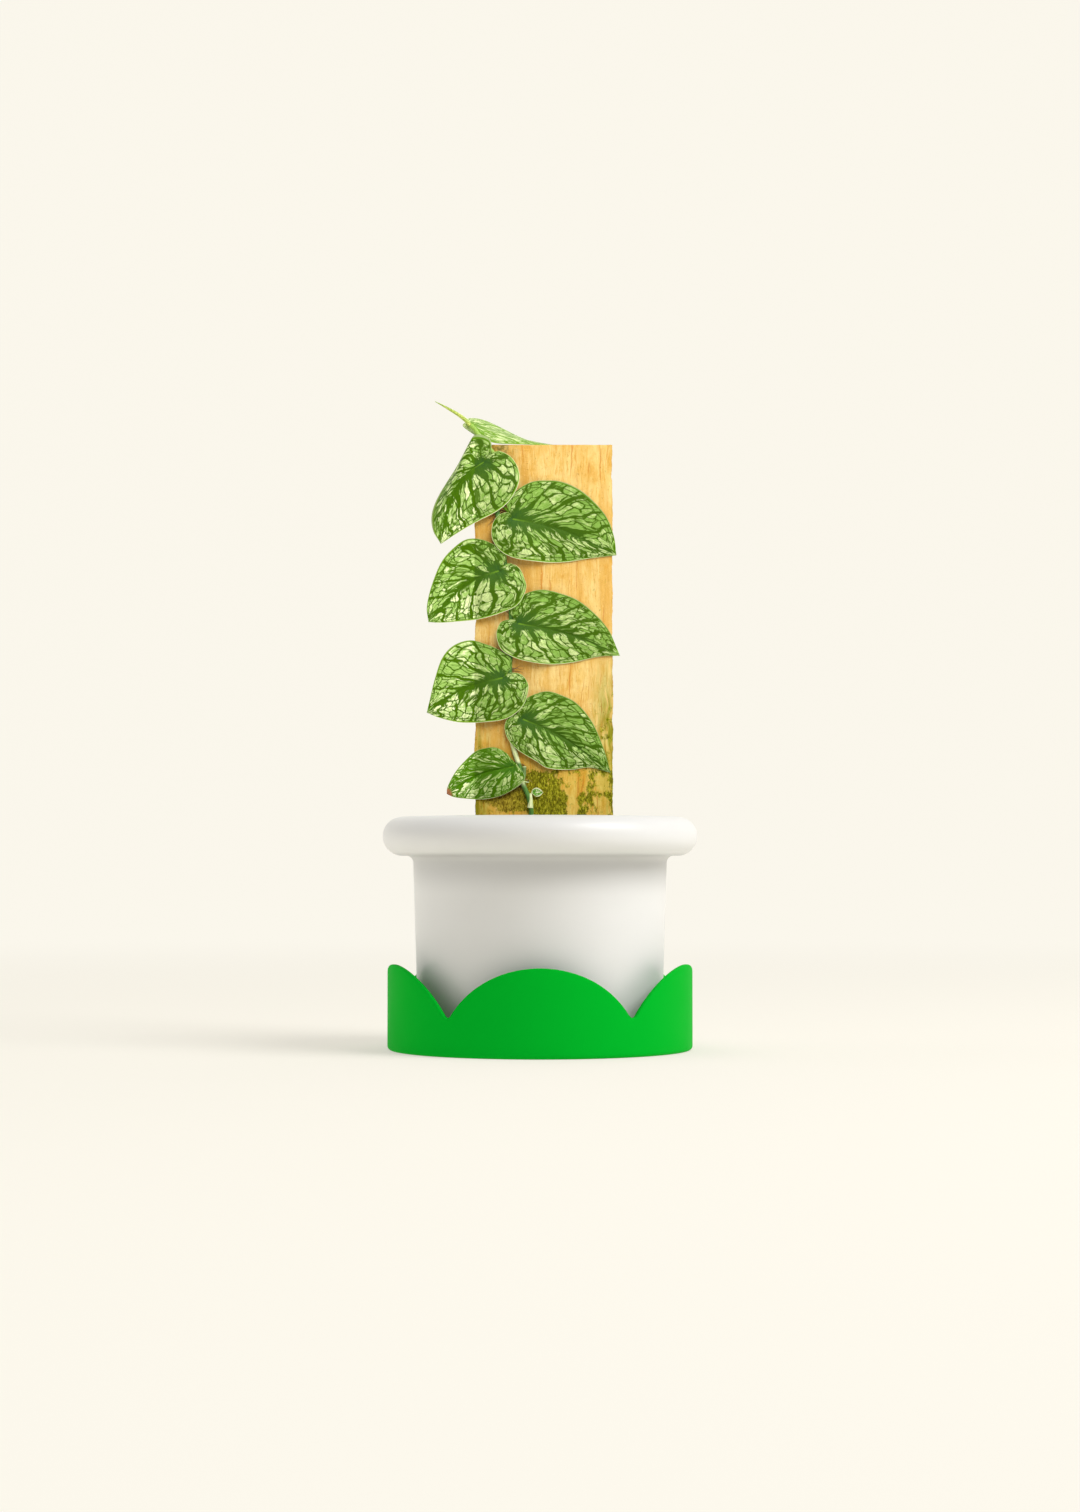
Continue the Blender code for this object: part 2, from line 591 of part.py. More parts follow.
def blade_height(x, height, tuck):
    """How far the middle of a pressed blade lies off the board at a spot."""
    nearness = 1.0 - smoothstep((stem_distance(x, height) - STEM_FLAT) / (STEM_FADE - STEM_FLAT))
    lift = 0.0
    if tuck:
        high, low = tuck
        lift = BLADE_TUCK * smoothstep((high - height) / (high - low))
    outside = clamp((BOARD_LEFT - 2.0 - x) / OVERHANG_REACH, 0.0, 1.2)
    return BLADE_REST + nearness * (BLADE_OVER_STEM + lift) - OVERHANG_DROOP * outside ** 1.5


def fold_back(point, leaf, off):
    """Bend the part of the first leaf past its fold line round behind it."""
    start = Vector(leaf["attach"]) + Vector(FOLD_FROM)
    line = (Vector(FOLD_TO) - Vector(FOLD_FROM)).normalized()
    outward = Vector((line.y, -line.x))
    run = (point - start).dot(line)
    past = (point - start).dot(outward)
    if past <= 0.0:
        return on_board(point.x, point.y, off)
    ease = smoothstep((run - FOLD_EASE[0]) / (FOLD_EASE[1] - FOLD_EASE[0]))
    limit = FOLD_ANGLE + (FOLD_TIP_ANGLE - FOLD_ANGLE) * ease
    angle = min(past / FOLD_RADIUS, limit)
    rest = past - FOLD_RADIUS * angle
    across = FOLD_RADIUS * math.sin(angle) + rest * math.cos(angle)
    back = FOLD_RADIUS * (1 - math.cos(angle)) + rest * math.sin(angle)
    spot = start + line * run + outward * across
    return on_board(spot.x, spot.y, off - back)


def petiole_line(leaf, midrib, height_off):
    """From inside the blade, out through the notch and back to the stem's side."""
    attach = Vector(leaf["attach"])
    notch = attach + Vector(leaf["notch"])
    inside = along(midrib, 0.07)
    rise = leaf.get("petiole_rise", PETIOLE_RISE)
    end_z = attach.y + rise
    end_x = stem_at(end_z) + leaf["stem_side"] * (STEM_RADIUS + PETIOLE_RADIUS + NODE_SWELL + 2 * GAP)
    seat = GAP + STEM_RADIUS
    line = [on_board(inside.x, inside.y, height_off - 0.25),
            on_board(attach.x, attach.y, height_off - 0.35)]
    if rise > 0.0:
        line.append(on_board(notch.x, notch.y, height_off - 0.5))
        middle = notch.lerp(Vector((end_x, end_z)), 0.55)
    else:
        middle = attach.lerp(Vector((end_x, end_z)), 0.5)
    line.append(on_board(middle.x, middle.y, 0.5 * (height_off + seat)))
    line.append(on_board(end_x, end_z, seat))
    return spline(line, steps=2)


def build_leaf(name, leaf, look):
    """A blade pressed against the board, with its short petiole."""
    midrib, sides = leaf_curves(leaf)

    def place(point):
        off = blade_height(point.x, point.y, leaf["tuck"])
        if name == "leaf_left_1":
            return fold_back(point, leaf, off)
        return on_board(point.x, point.y, off)

    made = blade(name, midrib, sides, place, look)
    at_attach = blade_height(*leaf["attach"], leaf["tuck"])
    line = petiole_line(leaf, midrib, at_attach)
    petiole = finish("petiole", tube(line, (PETIOLE_RADIUS,) * len(line), PETIOLE_SIDES), look)
    combine(made, [petiole], "UNION")
    return made


def build_top_leaf(look):
    """The youngest leaf, leaning back across the board's end."""
    tip = Vector(TOP_TIP)
    midrib = spline([TOP_ATTACH] + TOP_MIDRIB + [tip])
    sides = [spline([TOP_NOTCH] + side + [tip]) for side in (TOP_BACK, TOP_FRONT)]
    made = blade("leaf_top", midrib, sides, lambda point: point, look)
    line = spline([along(midrib, 0.06), TOP_ATTACH] + TOP_PETIOLE, steps=2)
    petiole = finish("petiole", tube(line, (PETIOLE_RADIUS,) * len(line), PETIOLE_SIDES), look)
    combine(made, [petiole], "UNION")
    return made


def build_tiny_leaf(look):
    """The small leaf at the tip of the lowest bract."""
    attach = Vector(TINY_ATTACH)
    tip = attach + Vector(TINY_TIP)
    midrib = spline([attach, attach.lerp(tip, 0.5), tip])
    sides = [spline([attach + Vector(TINY_NOTCH)] + [attach + Vector(point) for point in side] + [tip])
             for side in (TINY_UPPER, TINY_LOWER)]
    return blade("leaf_tiny", midrib, sides, lambda point: on_board(point.x, point.y, TINY_OFF_BOARD),
                 look, rows=TINY_ROWS, columns=TINY_COLUMNS, thick=TINY_THICK)


def build_growing_tip(vine_line, look):
    """The rolled new leaf, a fine spear that carries on from the stem's end."""
    end = vine_line[-1]
    ahead = (vine_line[-1] - vine_line[-2]).normalized()
    line = [end + ahead * GAP] + [Vector(point) for point in SPEAR]
    return finish("growing_tip", tube(line, SPEAR_RADII, SPEAR_SIDES), look)


def build_all():
    for old in list(bpy.data.objects):
        bpy.data.objects.remove(old)
    build_saucer()
    build_pot()
    build_board()
    vine, line = build_vine()
    slot = box("board_slot", (BOARD_LEFT - GAP, BOARD_FRONT - GAP, BOARD_BOTTOM - GAP),
               (BOARD_RIGHT + GAP, BOARD_FRONT + BOARD_THICK + GAP, SOIL_TOP + HOLE_ABOVE_SOIL))
    foot = line[0]
    hole_line = [(foot.x, foot.y, STEM_IN_SOIL - GAP), (foot.x, foot.y, SOIL_TOP + HOLE_ABOVE_SOIL)]
    hole = finish("stem_hole", tube(hole_line, (STEM_RADIUS + 2 * GAP,) * 2, HOLE_SIDES),
                  slot.data.materials[0])
    build_soil(slot, hole)
    green = material("leaf green", (0.10, 0.24, 0.05), 0.4)
    young = material("young leaf", (0.42, 0.62, 0.18), 0.45)
    for name, leaf in LEAVES.items():
        build_leaf(name, leaf, green)
    build_top_leaf(young)
    build_tiny_leaf(green)
    build_growing_tip(line, young)


build_all()
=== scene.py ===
"""The looks of a shingle plant on a rough board, in a white pot on a green scalloped saucer.

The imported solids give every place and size. Lengths here are in millimetres unless a
property has a unit of its own, and meshes are made in metres. The plant faces -Y.
"""

import json
import math

import bpy
import numpy as np
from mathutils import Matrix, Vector, noise

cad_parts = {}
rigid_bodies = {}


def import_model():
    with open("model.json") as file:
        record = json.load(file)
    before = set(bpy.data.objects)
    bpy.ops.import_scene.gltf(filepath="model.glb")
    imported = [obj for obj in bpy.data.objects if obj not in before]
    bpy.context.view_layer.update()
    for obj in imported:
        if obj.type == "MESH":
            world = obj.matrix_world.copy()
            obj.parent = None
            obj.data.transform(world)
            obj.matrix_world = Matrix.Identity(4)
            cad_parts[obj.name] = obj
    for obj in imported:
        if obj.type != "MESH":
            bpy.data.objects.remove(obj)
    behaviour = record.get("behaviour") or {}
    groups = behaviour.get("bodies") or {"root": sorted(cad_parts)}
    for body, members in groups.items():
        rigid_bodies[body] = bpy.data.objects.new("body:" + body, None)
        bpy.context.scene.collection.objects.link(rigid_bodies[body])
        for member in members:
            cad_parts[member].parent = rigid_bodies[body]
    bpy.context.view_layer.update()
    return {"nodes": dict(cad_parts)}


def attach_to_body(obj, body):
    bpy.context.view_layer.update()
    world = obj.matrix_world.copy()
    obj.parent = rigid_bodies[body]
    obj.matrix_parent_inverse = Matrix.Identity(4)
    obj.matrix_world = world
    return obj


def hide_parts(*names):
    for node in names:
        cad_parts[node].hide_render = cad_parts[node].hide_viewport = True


bl_info = {
    "name": "Shingle Plant Looks",
    "version": (1, 0, 0),
    "blender": (4, 5, 0),
    "location": "3D View > Sidebar > Shingle Plant",
    "description": "Dresses the packed solids of a potted shingle plant and sets up its studio",
    "category": "Object",
}

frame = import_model()

MM = 0.001
GAP = 0.35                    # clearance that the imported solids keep

SAUCER_RADIUS = 98.0
SAUCER_FLOOR = 3.0
SAUCER_WALL = 2.8
SAUCER_CORNER = 2.6
SCALLOPS = 5
SCALLOP_CROWN = 55.5
SCALLOP_RADIUS = 73.0
NOTCH_RADIUS = 3.5

POT_FOOT = SAUCER_FLOOR + GAP
POT_FOOT_RADIUS = 75.0
POT_FOOT_RING = 9.0
POT_FOOT_RECESS = 2.0
POT_FLOOR = 6.0
POT_CORNER = 4.0
POT_COVE = 4.5
POT_LOW_RADIUS = 78.2
POT_HIGH_RADIUS = 81.6
POT_INNER_LOW = 71.0
POT_INNER_HIGH = 76.2
POT_TOP = 149.3
RIM_RADIUS = 101.25
RIM_ROLL = 12.5
RIM_SHOULDER = 9.0
DRAIN_RADIUS = 7.0

SOIL_TOP = 138.0
SOIL_RADIUS = 75.6
SOIL_LUMPS = 1.6
SOIL_LUMP_WIDTH = 17.0
SOIL_SKIN = 6.0               # depth of the rough surface piece
SOIL_CLEAR = 2.5              # bare rim of mix round the board
# Name, smallest and largest grain, flatness, roughness, lift and seed.
GRAINS = (("soil_crumbs", 0.9, 3.4, 0.8, 0.9, 0.2, 3), ("soil_bark", 2.2, 7.5, 0.35, 1.6, 0.9, 11),
          ("soil_grit", 1.4, 3.6, 0.8, 1.0, 0.9, 23))
GRAIN_LEAN = 0.7
GRAIN_DETAIL = 420.0          # cells a metre in the noise that shapes each grain

BOARD_LEFT = -42.0
BOARD_RIGHT = 47.0
BOARD_FRONT = -4.0
BOARD_BACK = 15.0
BOARD_BOTTOM = 22.0
BOARD_TOP = 389.7
BOARD_RAGGED = 0.9
BOARD_WAVE = 21.0
BOARD_RIPPLE = 7.0
BOARD_TRUE_END = 12.0
PITH = (26.0, 52.0)           # the middle of the growth rings, in x and y
MOSS_HIGHEST = 206.0
TUFT_LENGTH = 0.9
TUFT_WIDTH = 0.16
TUFT_LEAN = 0.9
SMALLEST_TUFT = 0.35

STEM_RADIUS = 1.5
STEM_IN_SOIL = 112.0
PETIOLE_RADIUS = 0.95
PETIOLE_RISE = 9.0
PETIOLE_DROP = -6.0
NODE_SWELL = 0.12
NODE_LENGTH = 3.0
SHEATH = ((190.0, 196.0), 0.12)
SHEATH_FADE = 8.0
STEM_STEPS = 421
ROOT_THICKNESS = 0.34
ROOT_SEED = 17
ROOT_STEPS = 12
ROOT_LENGTHS = (5.0, 12.0)
ROOT_ANGLES = (20.0, 125.0)   # degrees from straight down
TUBE_POINT = 0.3              # how far a tube's end stands out, as a share of its radius

BLADE_REST = 0.75
BLADE_OVER_STEM = 3.5
BLADE_TUCK = 1.25
STEM_FLAT = 13.0
STEM_FADE = 32.0
OVERHANG_DROOP = 2.4
OVERHANG_REACH = 30.0
LOBE_SHARE = 0.2
VEIN_SWEEP = 2.4
BLADE_GRID = {"rows": 110, "columns": 26}
TINY_GRID = {"rows": 40, "columns": 12}
MIDRIB_DEPTH = 0.22
BLADE_WAVE = 0.18
BLADE_WAVE_WIDTH = 9.0
YOUNG_THICKNESS = 0.5
TINY_THICKNESS = 0.35
VEIN_FAN = 0.50               # how strongly the side veins lean toward the tip

# Outlines are drawn on the board: x to the right and z up. "attach" is where the petiole
# joins the blade, and the other points are measured from it. Each side runs from the
# notch round to the tip. "silver" is how much of the blade its pale marks take.
LEAVES = {
    "leaf_left_1": {
        "attach": (-36.5, 378.0), "notch": (2.5, 3.0), "tip": (-27.5, -52.5),
        "midrib": [(-9.0, -6.5), (-18.5, -18.5), (-24.5, -33.0)],
        "upper": [(5.0, 7.5), (4.5, 14.5), (-1.0, 17.5), (-9.0, 17.5), (-17.0, 15.0), (-25.0, 9.0),
                  (-32.0, -1.5), (-36.0, -13.0), (-37.5, -24.0), (-36.5, -34.0), (-33.0, -43.5)],
        "lower": [(4.5, 5.5), (10.5, 7.0), (18.0, 3.0), (22.5, -4.5), (23.0, -13.0),
                  (18.5, -23.0), (10.5, -31.0), (-2.5, -38.0), (-16.5, -45.5)],
        "tuck": (373.0, 362.0), "stem_side": -1, "petiole_rise": 3.0, "silver": 0.74,
    },
    "leaf_right_1": {
        "attach": (-17.5, 341.0), "notch": (-2.5, 4.5), "tip": (66.8, -23.0),
        "midrib": [(30.0, -6.0)],
        "upper": [(-4.0, 12.0), (4.5, 20.0), (13.0, 24.5), (22.5, 25.5), (32.0, 24.5),
                  (43.0, 19.5), (52.5, 11.5), (60.6, 1.5), (65.3, -11.0)],
        "lower": [(-6.5, 4.0), (-10.5, 1.5), (-13.5, -5.0), (-13.0, -13.5), (-7.5, -21.0),
                  (2.0, -25.5), (17.5, -27.5), (33.5, -27.5), (49.5, -25.0)],
        "tuck": (339.0, 325.0), "stem_side": 1, "silver": 0.96,
    },
    "leaf_left_2": {
        "attach": (-26.5, 307.5), "notch": (2.5, 3.0), "tip": (-45.5, -32.5),
        "midrib": [(-22.0, -8.5)],
        "upper": [(5.0, 8.5), (3.0, 13.0), (-4.0, 17.5), (-12.0, 20.5), (-21.0, 20.6),
                  (-29.0, 15.6), (-37.2, 6.2), (-43.5, -9.0), (-46.5, -22.5)],
        "lower": [(7.0, 5.0), (13.0, 2.0), (16.5, -5.0), (17.5, -12.0), (12.0, -22.0),
                  (0.5, -27.5), (-12.0, -31.0), (-28.5, -32.5), (-38.0, -33.0)],
        "tuck": (312.0, 294.0), "stem_side": -1, "silver": 0.80,
    },
    "leaf_right_2": {
        "attach": (-14.0, 273.5), "notch": (-2.5, 3.0), "tip": (65.5, -20.5),
        "midrib": [(33.0, -6.5)],
        "upper": [(-5.4, 7.5), (-2.4, 13.5), (5.0, 19.5), (15.5, 22.0), (26.5, 20.0),
                  (39.0, 15.0), (51.0, 5.0), (58.6, -4.5), (63.4, -15.3)],
        "lower": [(-7.0, 2.5), (-11.5, 0.5), (-14.0, -6.5), (-12.0, -15.0), (-6.5, -20.0),
                  (4.0, -24.0), (18.5, -26.0), (34.0, -25.0), (52.0, -21.0)],
        "tuck": (275.0, 261.0), "stem_side": 1, "silver": 1.0,
    },
    "leaf_left_3": {
        "attach": (-24.0, 238.5), "notch": (2.5, 2.7), "tip": (-49.0, -22.0),
        "midrib": [(-24.5, -6.5)],
        "upper": [(5.5, 7.0), (5.0, 13.0), (-2.0, 18.0), (-11.5, 22.0), (-21.0, 24.5),
                  (-31.4, 21.4), (-39.1, 13.2), (-44.1, -1.3), (-47.0, -13.5)],
        "lower": [(6.0, 3.5), (11.5, 2.5), (15.5, -2.0), (16.5, -7.5), (13.0, -18.0),
                  (3.0, -26.0), (-11.5, -28.5), (-27.5, -28.5), (-40.5, -25.5)],
        "tuck": (248.0, 228.0), "stem_side": -1, "silver": 1.0,
    },
    "leaf_right_3": {
        "attach": (-11.0, 212.0), "notch": (-3.0, 3.0), "tip": (56.5, -34.5),
        "midrib": [(26.5, -12.0)],
        "upper": [(-3.5, 7.0), (0.5, 12.0), (7.5, 16.0), (16.0, 18.0), (25.0, 15.5),
                  (35.0, 10.0), (44.5, -1.5), (51.0, -16.0), (54.5, -27.0)],
        "lower": [(-7.5, 2.5), (-11.5, -3.0), (-10.5, -11.0), (-5.5, -18.0), (1.5, -23.0),
                  (8.5, -27.0), (16.0, -31.5), (30.0, -32.5), (43.0, -31.0)],
        "tuck": None, "stem_side": 1, "silver": 0.76,
    },
    "leaf_left_4": {
        "attach": (-16.5, 181.5), "notch": (1.5, 2.0), "tip": (-43.5, -17.5),
        "midrib": [(-22.5, -5.0)],
        "upper": [(-1.0, 4.0), (-5.0, 8.5), (-11.0, 12.0), (-18.0, 12.0), (-25.5, 9.5),
                  (-34.0, 1.5), (-39.0, -5.0), (-43.0, -13.0)],
        "lower": [(3.0, -0.5), (6.0, -4.5), (6.0, -9.5), (-2.0, -15.5), (-11.0, -19.5),
                  (-21.0, -21.0), (-32.0, -20.5), (-39.0, -19.5)],
        "tuck": None, "stem_side": -1, "petiole_rise": PETIOLE_DROP, "silver": 0.64,
    },
}

FOLDED = "leaf_left_1"        # its left margin folds back past the board's edge
FOLD_FROM = (-3.2, 15.4)
FOLD_TO = (-26.4, -38.0)
FOLD_RADIUS = 4.0
FOLD_ANGLE = math.radians(80.0)
FOLD_TIP_ANGLE = math.radians(35.0)
FOLD_EASE = (5.0, 88.0)
FOLDED_NUMBER = 14.0          # picks its own marks
FOLD_CROWDING = 0.95          # its marks crowd toward the midrib on the folded side

DRIED = "leaf_left_4"         # its tip has dried brown
DRIED_LENGTH = 4.2

STEM_ROUTE = [
    (-5.5, 147.0), (-6.0, 155.5), (-8.0, 163.5), (-11.5, 171.5), (-13.0, 180.5),
    (-17.0, 193.5), (-19.0, 205.0), (-19.0, 216.0), (-19.3, 231.0), (-19.6, 243.0),
    (-18.9, 256.5), (-18.6, 268.0), (-18.6, 278.0), (-19.2, 290.0), (-20.8, 302.0),
    (-22.8, 314.0), (-24.4, 327.5), (-26.5, 339.0), (-27.5, 348.5), (-26.0, 359.5),
    (-26.5, 372.5), (-28.2, 380.5), (-32.0, 386.0), (-37.0, 390.6),
]
STEM_TOP = [(-40.0, -4.7, 395.8), (-42.2, -3.7, 399.6), (-45.0, -3.0, 402.3)]
STEM_NODES = (156.0, 172.5, 182.5, 216.0, 243.0, 278.0, 309.0, 345.0, 380.0)
BRACT = [(-6.3, 155.0), (-6.0, 159.5), (-6.0, 164.2)]
BRACT_RADII = (1.95, 1.6, 1.2, 0.8)
STUB = [(-11.4, 172.5), (-10.2, 176.5), (-10.1, 181.6)]
STUB_RADIUS = 1.25
ROOTLET = [(-11.0, 171.8), (-8.9, 171.6), (-7.0, 171.4)]
ROOTLET_RADII = (0.7, 0.65, 0.5, 0.3)

TINY_ATTACH = (-5.0, 165.0)
TINY_TIP = (7.0, -0.1)
TINY_NOTCH = (-0.6, 0.0)
TINY_UPPER = [(0.3, 1.8), (2.7, 3.0), (5.2, 2.0)]
TINY_LOWER = [(0.7, -1.5), (2.7, -2.9), (5.2, -2.2)]
TINY_OFF_BOARD = 2.3

TOP_NOTCH = (-48.6, 1.9, 405.4)
TOP_FRONT = [(-50.0, 0.8, 402.8), (-45.5, -0.8, 398.8), (-38.0, -1.8, 394.2),
             (-29.0, -2.2, 391.2), (-19.0, -2.0, 390.6), (-6.0, -0.5, 390.4), (8.0, 3.5, 390.4)]
TOP_BACK = [(-48.5, 6.0, 407.8), (-44.0, 18.0, 410.5), (-37.0, 29.0, 410.9),
            (-27.0, 36.0, 407.5), (-15.0, 37.5, 401.7), (-2.0, 32.0, 395.9), (10.0, 22.0, 391.9)]
TOP_ATTACH = (-47.3, 2.2, 404.4)
TOP_MIDRIB = [(-36.0, 9.5, 402.5), (-22.0, 14.0, 398.2), (-5.0, 14.5, 393.5), (10.0, 12.0, 391.2)]
TOP_TIP = (23.0, 9.0, 390.4)
TOP_PETIOLE = [(-46.3, 0.6, 403.4), (-45.3, -1.1, 402.5)]

SPEAR = [(-48.0, -2.7, 405.8), (-52.8, -2.6, 409.5), (-58.2, -2.4, 412.8), (-63.1, -2.2, 415.6),
         (-68.0, -2.0, 418.2)]
SPEAR_RADII = (1.35, 1.3, 1.1, 0.9, 0.55, 0.15)

# Where the algae leaves the wood bare, as middle and half size on the board's front.
BARE_PATCHES = [((22.5, 173.0), (8.5, 9.5)), ((39.0, 171.5), (5.0, 6.5)), ((21.0, 155.0), (3.2, 9.0)),
                ((38.0, 154.0), (7.5, 8.0)), ((-37.0, 153.0), (8.0, 5.0)), ((-16.0, 149.5), (14.0, 2.8)),
                ((4.0, 184.0), (9.0, 4.5))]

PHOTO_HEIGHT = 1512
FOCAL_PIXELS = 2850.0         # focal length in the photograph's pixels
SENSOR = 36.0

# Places of the lights and what they aim at, in metres.
KEY_PLACE = (2.35, -1.3, 2.95)
SIDE_PLACE = (3.75, -1.0, 1.0)
LEFT_PLACE = (-3.2, 0.5, 1.1)
PLANT_LIGHT_PLACE = (0.35, -1.6, 1.3)
LIGHT_TARGET = (0.0, 0.0, 0.15)
PLANT_LIGHT_TARGET = (0.0, 0.0, 0.27)
FAR_GLOW = 0.96               # share of its own brightness that the far paper gives off


def a_colour(name, about, value):
    """A colour that a user can change."""
    return bpy.props.FloatVectorProperty(name=name, description=about, default=value,
                                         subtype="COLOR", size=3, min=0.0, max=1.0)


def a_number(name, about, value, **limits):
    """A number that a user can change, with its unit and its limits."""
    return bpy.props.FloatProperty(name=name, description=about, default=value, **limits)


def a_count(name, about, value, **limits):
    """A whole number that a user can change."""
    return bpy.props.IntProperty(name=name, description=about, default=value, **limits)


class SaucerLook(bpy.types.PropertyGroup):
    """The green saucer."""
    glaze: a_colour("Glaze", "Colour of the satin green glaze", (0.0, 0.49, 0.024))
    edge: a_number("Edge", "Rounding along the scallops, in millimetres", 0.9, min=0.2, max=1.3)
    texture: a_number("Texture", "Depth of the fine orange peel in the glaze",
                      0.00002, unit="LENGTH", min=0.0, max=0.0002)


class PotLook(bpy.types.PropertyGroup):
    """The white pot."""
    glaze: a_colour("Glaze", "Colour of the glossy white glaze", (0.87, 0.865, 0.85))
    clay: a_colour("Bare clay", "Colour of the unglazed foot", (0.70, 0.64, 0.54))
    segments: a_count("Segments", "Facets round the pot", 192, min=48, max=360)
    waviness: a_number("Waviness", "Depth of the slow waves that throwing left in the wall",
                       0.00012, unit="LENGTH", min=0.0, max=0.001)


class SoilLook(bpy.types.PropertyGroup):
    """The potting mix."""
    mix: a_colour("Mix", "Colour of the moist mix", (0.030, 0.018, 0.011))
    bark: a_colour("Bark", "Colour of the bark chips", (0.13, 0.062, 0.030))
    grit: a_colour("Grit", "Colour of the white mineral grains", (0.72, 0.70, 0.65))
    crumbs: a_number("Crumbs", "Crumbs on each square metre", 70000.0, min=0.0)
    chips: a_number("Bark chips", "Bark chips on each square metre", 13000.0, min=0.0)
    grains: a_number("Grit grains", "White grains on each square metre", 5000.0, min=0.0)


class BoardLook(bpy.types.PropertyGroup):
    """The raw board."""
    wood: a_colour("Wood", "Colour of the pale wood", (0.82, 0.56, 0.178))
    late_wood: a_colour("Late wood", "Colour of the darker grain lines and flecks", (0.70, 0.36, 0.060))
    algae: a_colour("Algae", "Colour of the algae film at the foot", (0.190, 0.195, 0.004))
    ring: a_number("Growth ring", "Width of a growth ring in millimetres", 3.1, min=0.5, max=10.0)
    relief: a_number("Relief", "Depth of the sawn grooves in millimetres", 0.16, min=0.0, max=0.3)
    tufts: a_number("Moss tufts", "Moss leaflets on each square metre", 1600000.0, min=0.0)


class VineLook(bpy.types.PropertyGroup):
    """The climbing stem and its roots."""
    stem: a_colour("Stem", "Colour of the green stem", (0.055, 0.17, 0.025))
    sheath: a_colour("Sheath", "Colour of the pale sheaths and bracts", (0.82, 0.86, 0.48))
    young: a_colour("Young stem", "Colour of the stem near its growing point", (0.24, 0.42, 0.05))
    root: a_colour("Root", "Colour of the clinging roots", (0.42, 0.26, 0.11))
    roots_each: a_count("Roots", "Clinging roots at each node", 9, min=0, max=30)


class LeafLook(bpy.types.PropertyGroup):
    """The pressed leaves."""
    dark: a_colour("Vein green", "Colour along the midrib and the veins", (0.046, 0.113, 0.001))
    deep: a_colour("Base green", "Cooler colour where the veins meet", (0.038, 0.114, 0.020))
    silver: a_colour("Silver", "Colour of the pale marks", (0.50, 0.65, 0.225))
    rim: a_colour("Rim", "Colour of the thin margin", (0.17, 0.36, 0.015))
    edge: a_colour("Edge", "Colour of the pale line round the blade", (0.72, 0.76, 0.44))
    veins: a_number("Veins", "Side veins in each half of a blade", 7.0, min=3.0, max=20.0)
    thickness: a_number("Thickness", "Thickness of a blade in millimetres", 0.55, min=0.2, max=0.7)
    crown: a_number("Crown", "How far a half blade arches, in millimetres", 0.7, min=0.0, max=1.0)


class YoungLook(bpy.types.PropertyGroup):
    """The youngest leaf and the rolled one."""
    pale: a_colour("Pale", "Colour of the milky marks", (0.66, 0.76, 0.36))
    fresh: a_colour("Fresh green", "Colour between the marks", (0.13, 0.29, 0.012))
    spear: a_colour("Spear", "Colour of the rolled leaf", (0.34, 0.46, 0.06))


class StageLook(bpy.types.PropertyGroup):
    """The floor, the camera and the lights."""
    backdrop: a_colour("Backdrop", "Colour of the floor and the backdrop", (0.973, 0.939, 0.847))
    glow: a_number("Glow", "Share of the backdrop's brightness that it gives off itself",
                   0.47, subtype="FACTOR", min=0.0, max=1.0)
    distance: a_number("Distance", "From the camera to the pot's axis", 1.838, unit="LENGTH", min=0.5)
    height: a_number("Height", "Height of the camera over the floor", 0.1228, unit="LENGTH", min=0.0)
    tilt: a_number("Tilt", "How far the camera looks up", math.radians(2.05), unit="ROTATION")
    key: a_number("Key light", "Power of the large light at the upper right", 100.0, unit="POWER", min=0.0)
    side: a_number("Side light", "Power of the low light at the right", 4.0, unit="POWER", min=0.0)
    left: a_number("Left light", "Power of the light at the left", 13.0, unit="POWER", min=0.0)
    plant: a_number("Plant light", "Power of the light on the plant and its board",
                    20.0, unit="POWER", min=0.0)
    room: a_number("Room light", "Strength of the light from all round", 0.55, min=0.0)


# Shapes

def smoothstep(value, low=0.0, high=1.0):
    """Ease from 0 at low to 1 at high."""
    share = np.clip((np.asarray(value, float) - low) / (high - low), 0.0, 1.0)
    return share * share * (3.0 - 2.0 * share)


def spline(points, steps=10):
    """Points along a Catmull-Rom curve through the given ones."""
    points = np.array(points, float)
    ends = np.vstack([2 * points[0] - points[1], points, 2 * points[-1] - points[-2]])
    t = (np.arange(steps) / steps)[:, None]
    parts = [0.5 * (2 * b + (c - a) * t + (2 * a - 5 * b + 4 * c - d) * t ** 2
                    + (3 * b - a - 3 * c + d) * t ** 3)
             for a, b, c, d in zip(ends, ends[1:], ends[2:], ends[3:])]
    return np.vstack(parts + [points[-1:]])


def along(curve, fractions):
    """The points at these fractions of a curve's length."""
    lengths = np.concatenate([[0.0], np.cumsum(np.linalg.norm(np.diff(curve, axis=0), axis=1))])
    places = np.asarray(fractions, float) * lengths[-1]
    return np.stack([np.interp(places, lengths, curve[:, k]) for k in range(curve.shape[1])], axis=-1)


def swirl(points, size, seed=0.0):
    """Smooth noise from -1 to 1 at each point, with bumps of about this size."""
    points = np.asarray(points, float)
    if points.shape[1] == 2:
        points = np.column_stack([points, np.zeros(len(points))])
    shift = Vector((seed, 2 * seed, 3 * seed))
    return np.array([noise.noise(Vector(point) / size + shift) for point in points])


def ring_faces(rows, columns, start=0, closed=False):
    """Quads between successive rings of points, which all close on themselves."""
    faces = []
    for row in range(rows if closed else rows - 1):
        low = start + row * columns
        high = start + (row + 1) % rows * columns
        for i in range(columns):
            j = (i + 1) % columns
            faces.append((low + i, low + j, high + j, high + i))
    return faces


def capped_faces(rows, columns, start=0):
    """Ring faces, and fans from the two points that follow the rings to the first and last."""
    faces = ring_faces(rows, columns, start)
    first_point = start + rows * columns
    last_ring = first_point - columns
    for i in range(columns):
        j = (i + 1) % columns
        faces.append((first_point, start + j, start + i))
        faces.append((first_point + 1, last_ring + i, last_ring + j))
    return faces


def full_turn(steps):
    """Even angles once round."""
    return np.arange(steps) * 2 * math.pi / steps


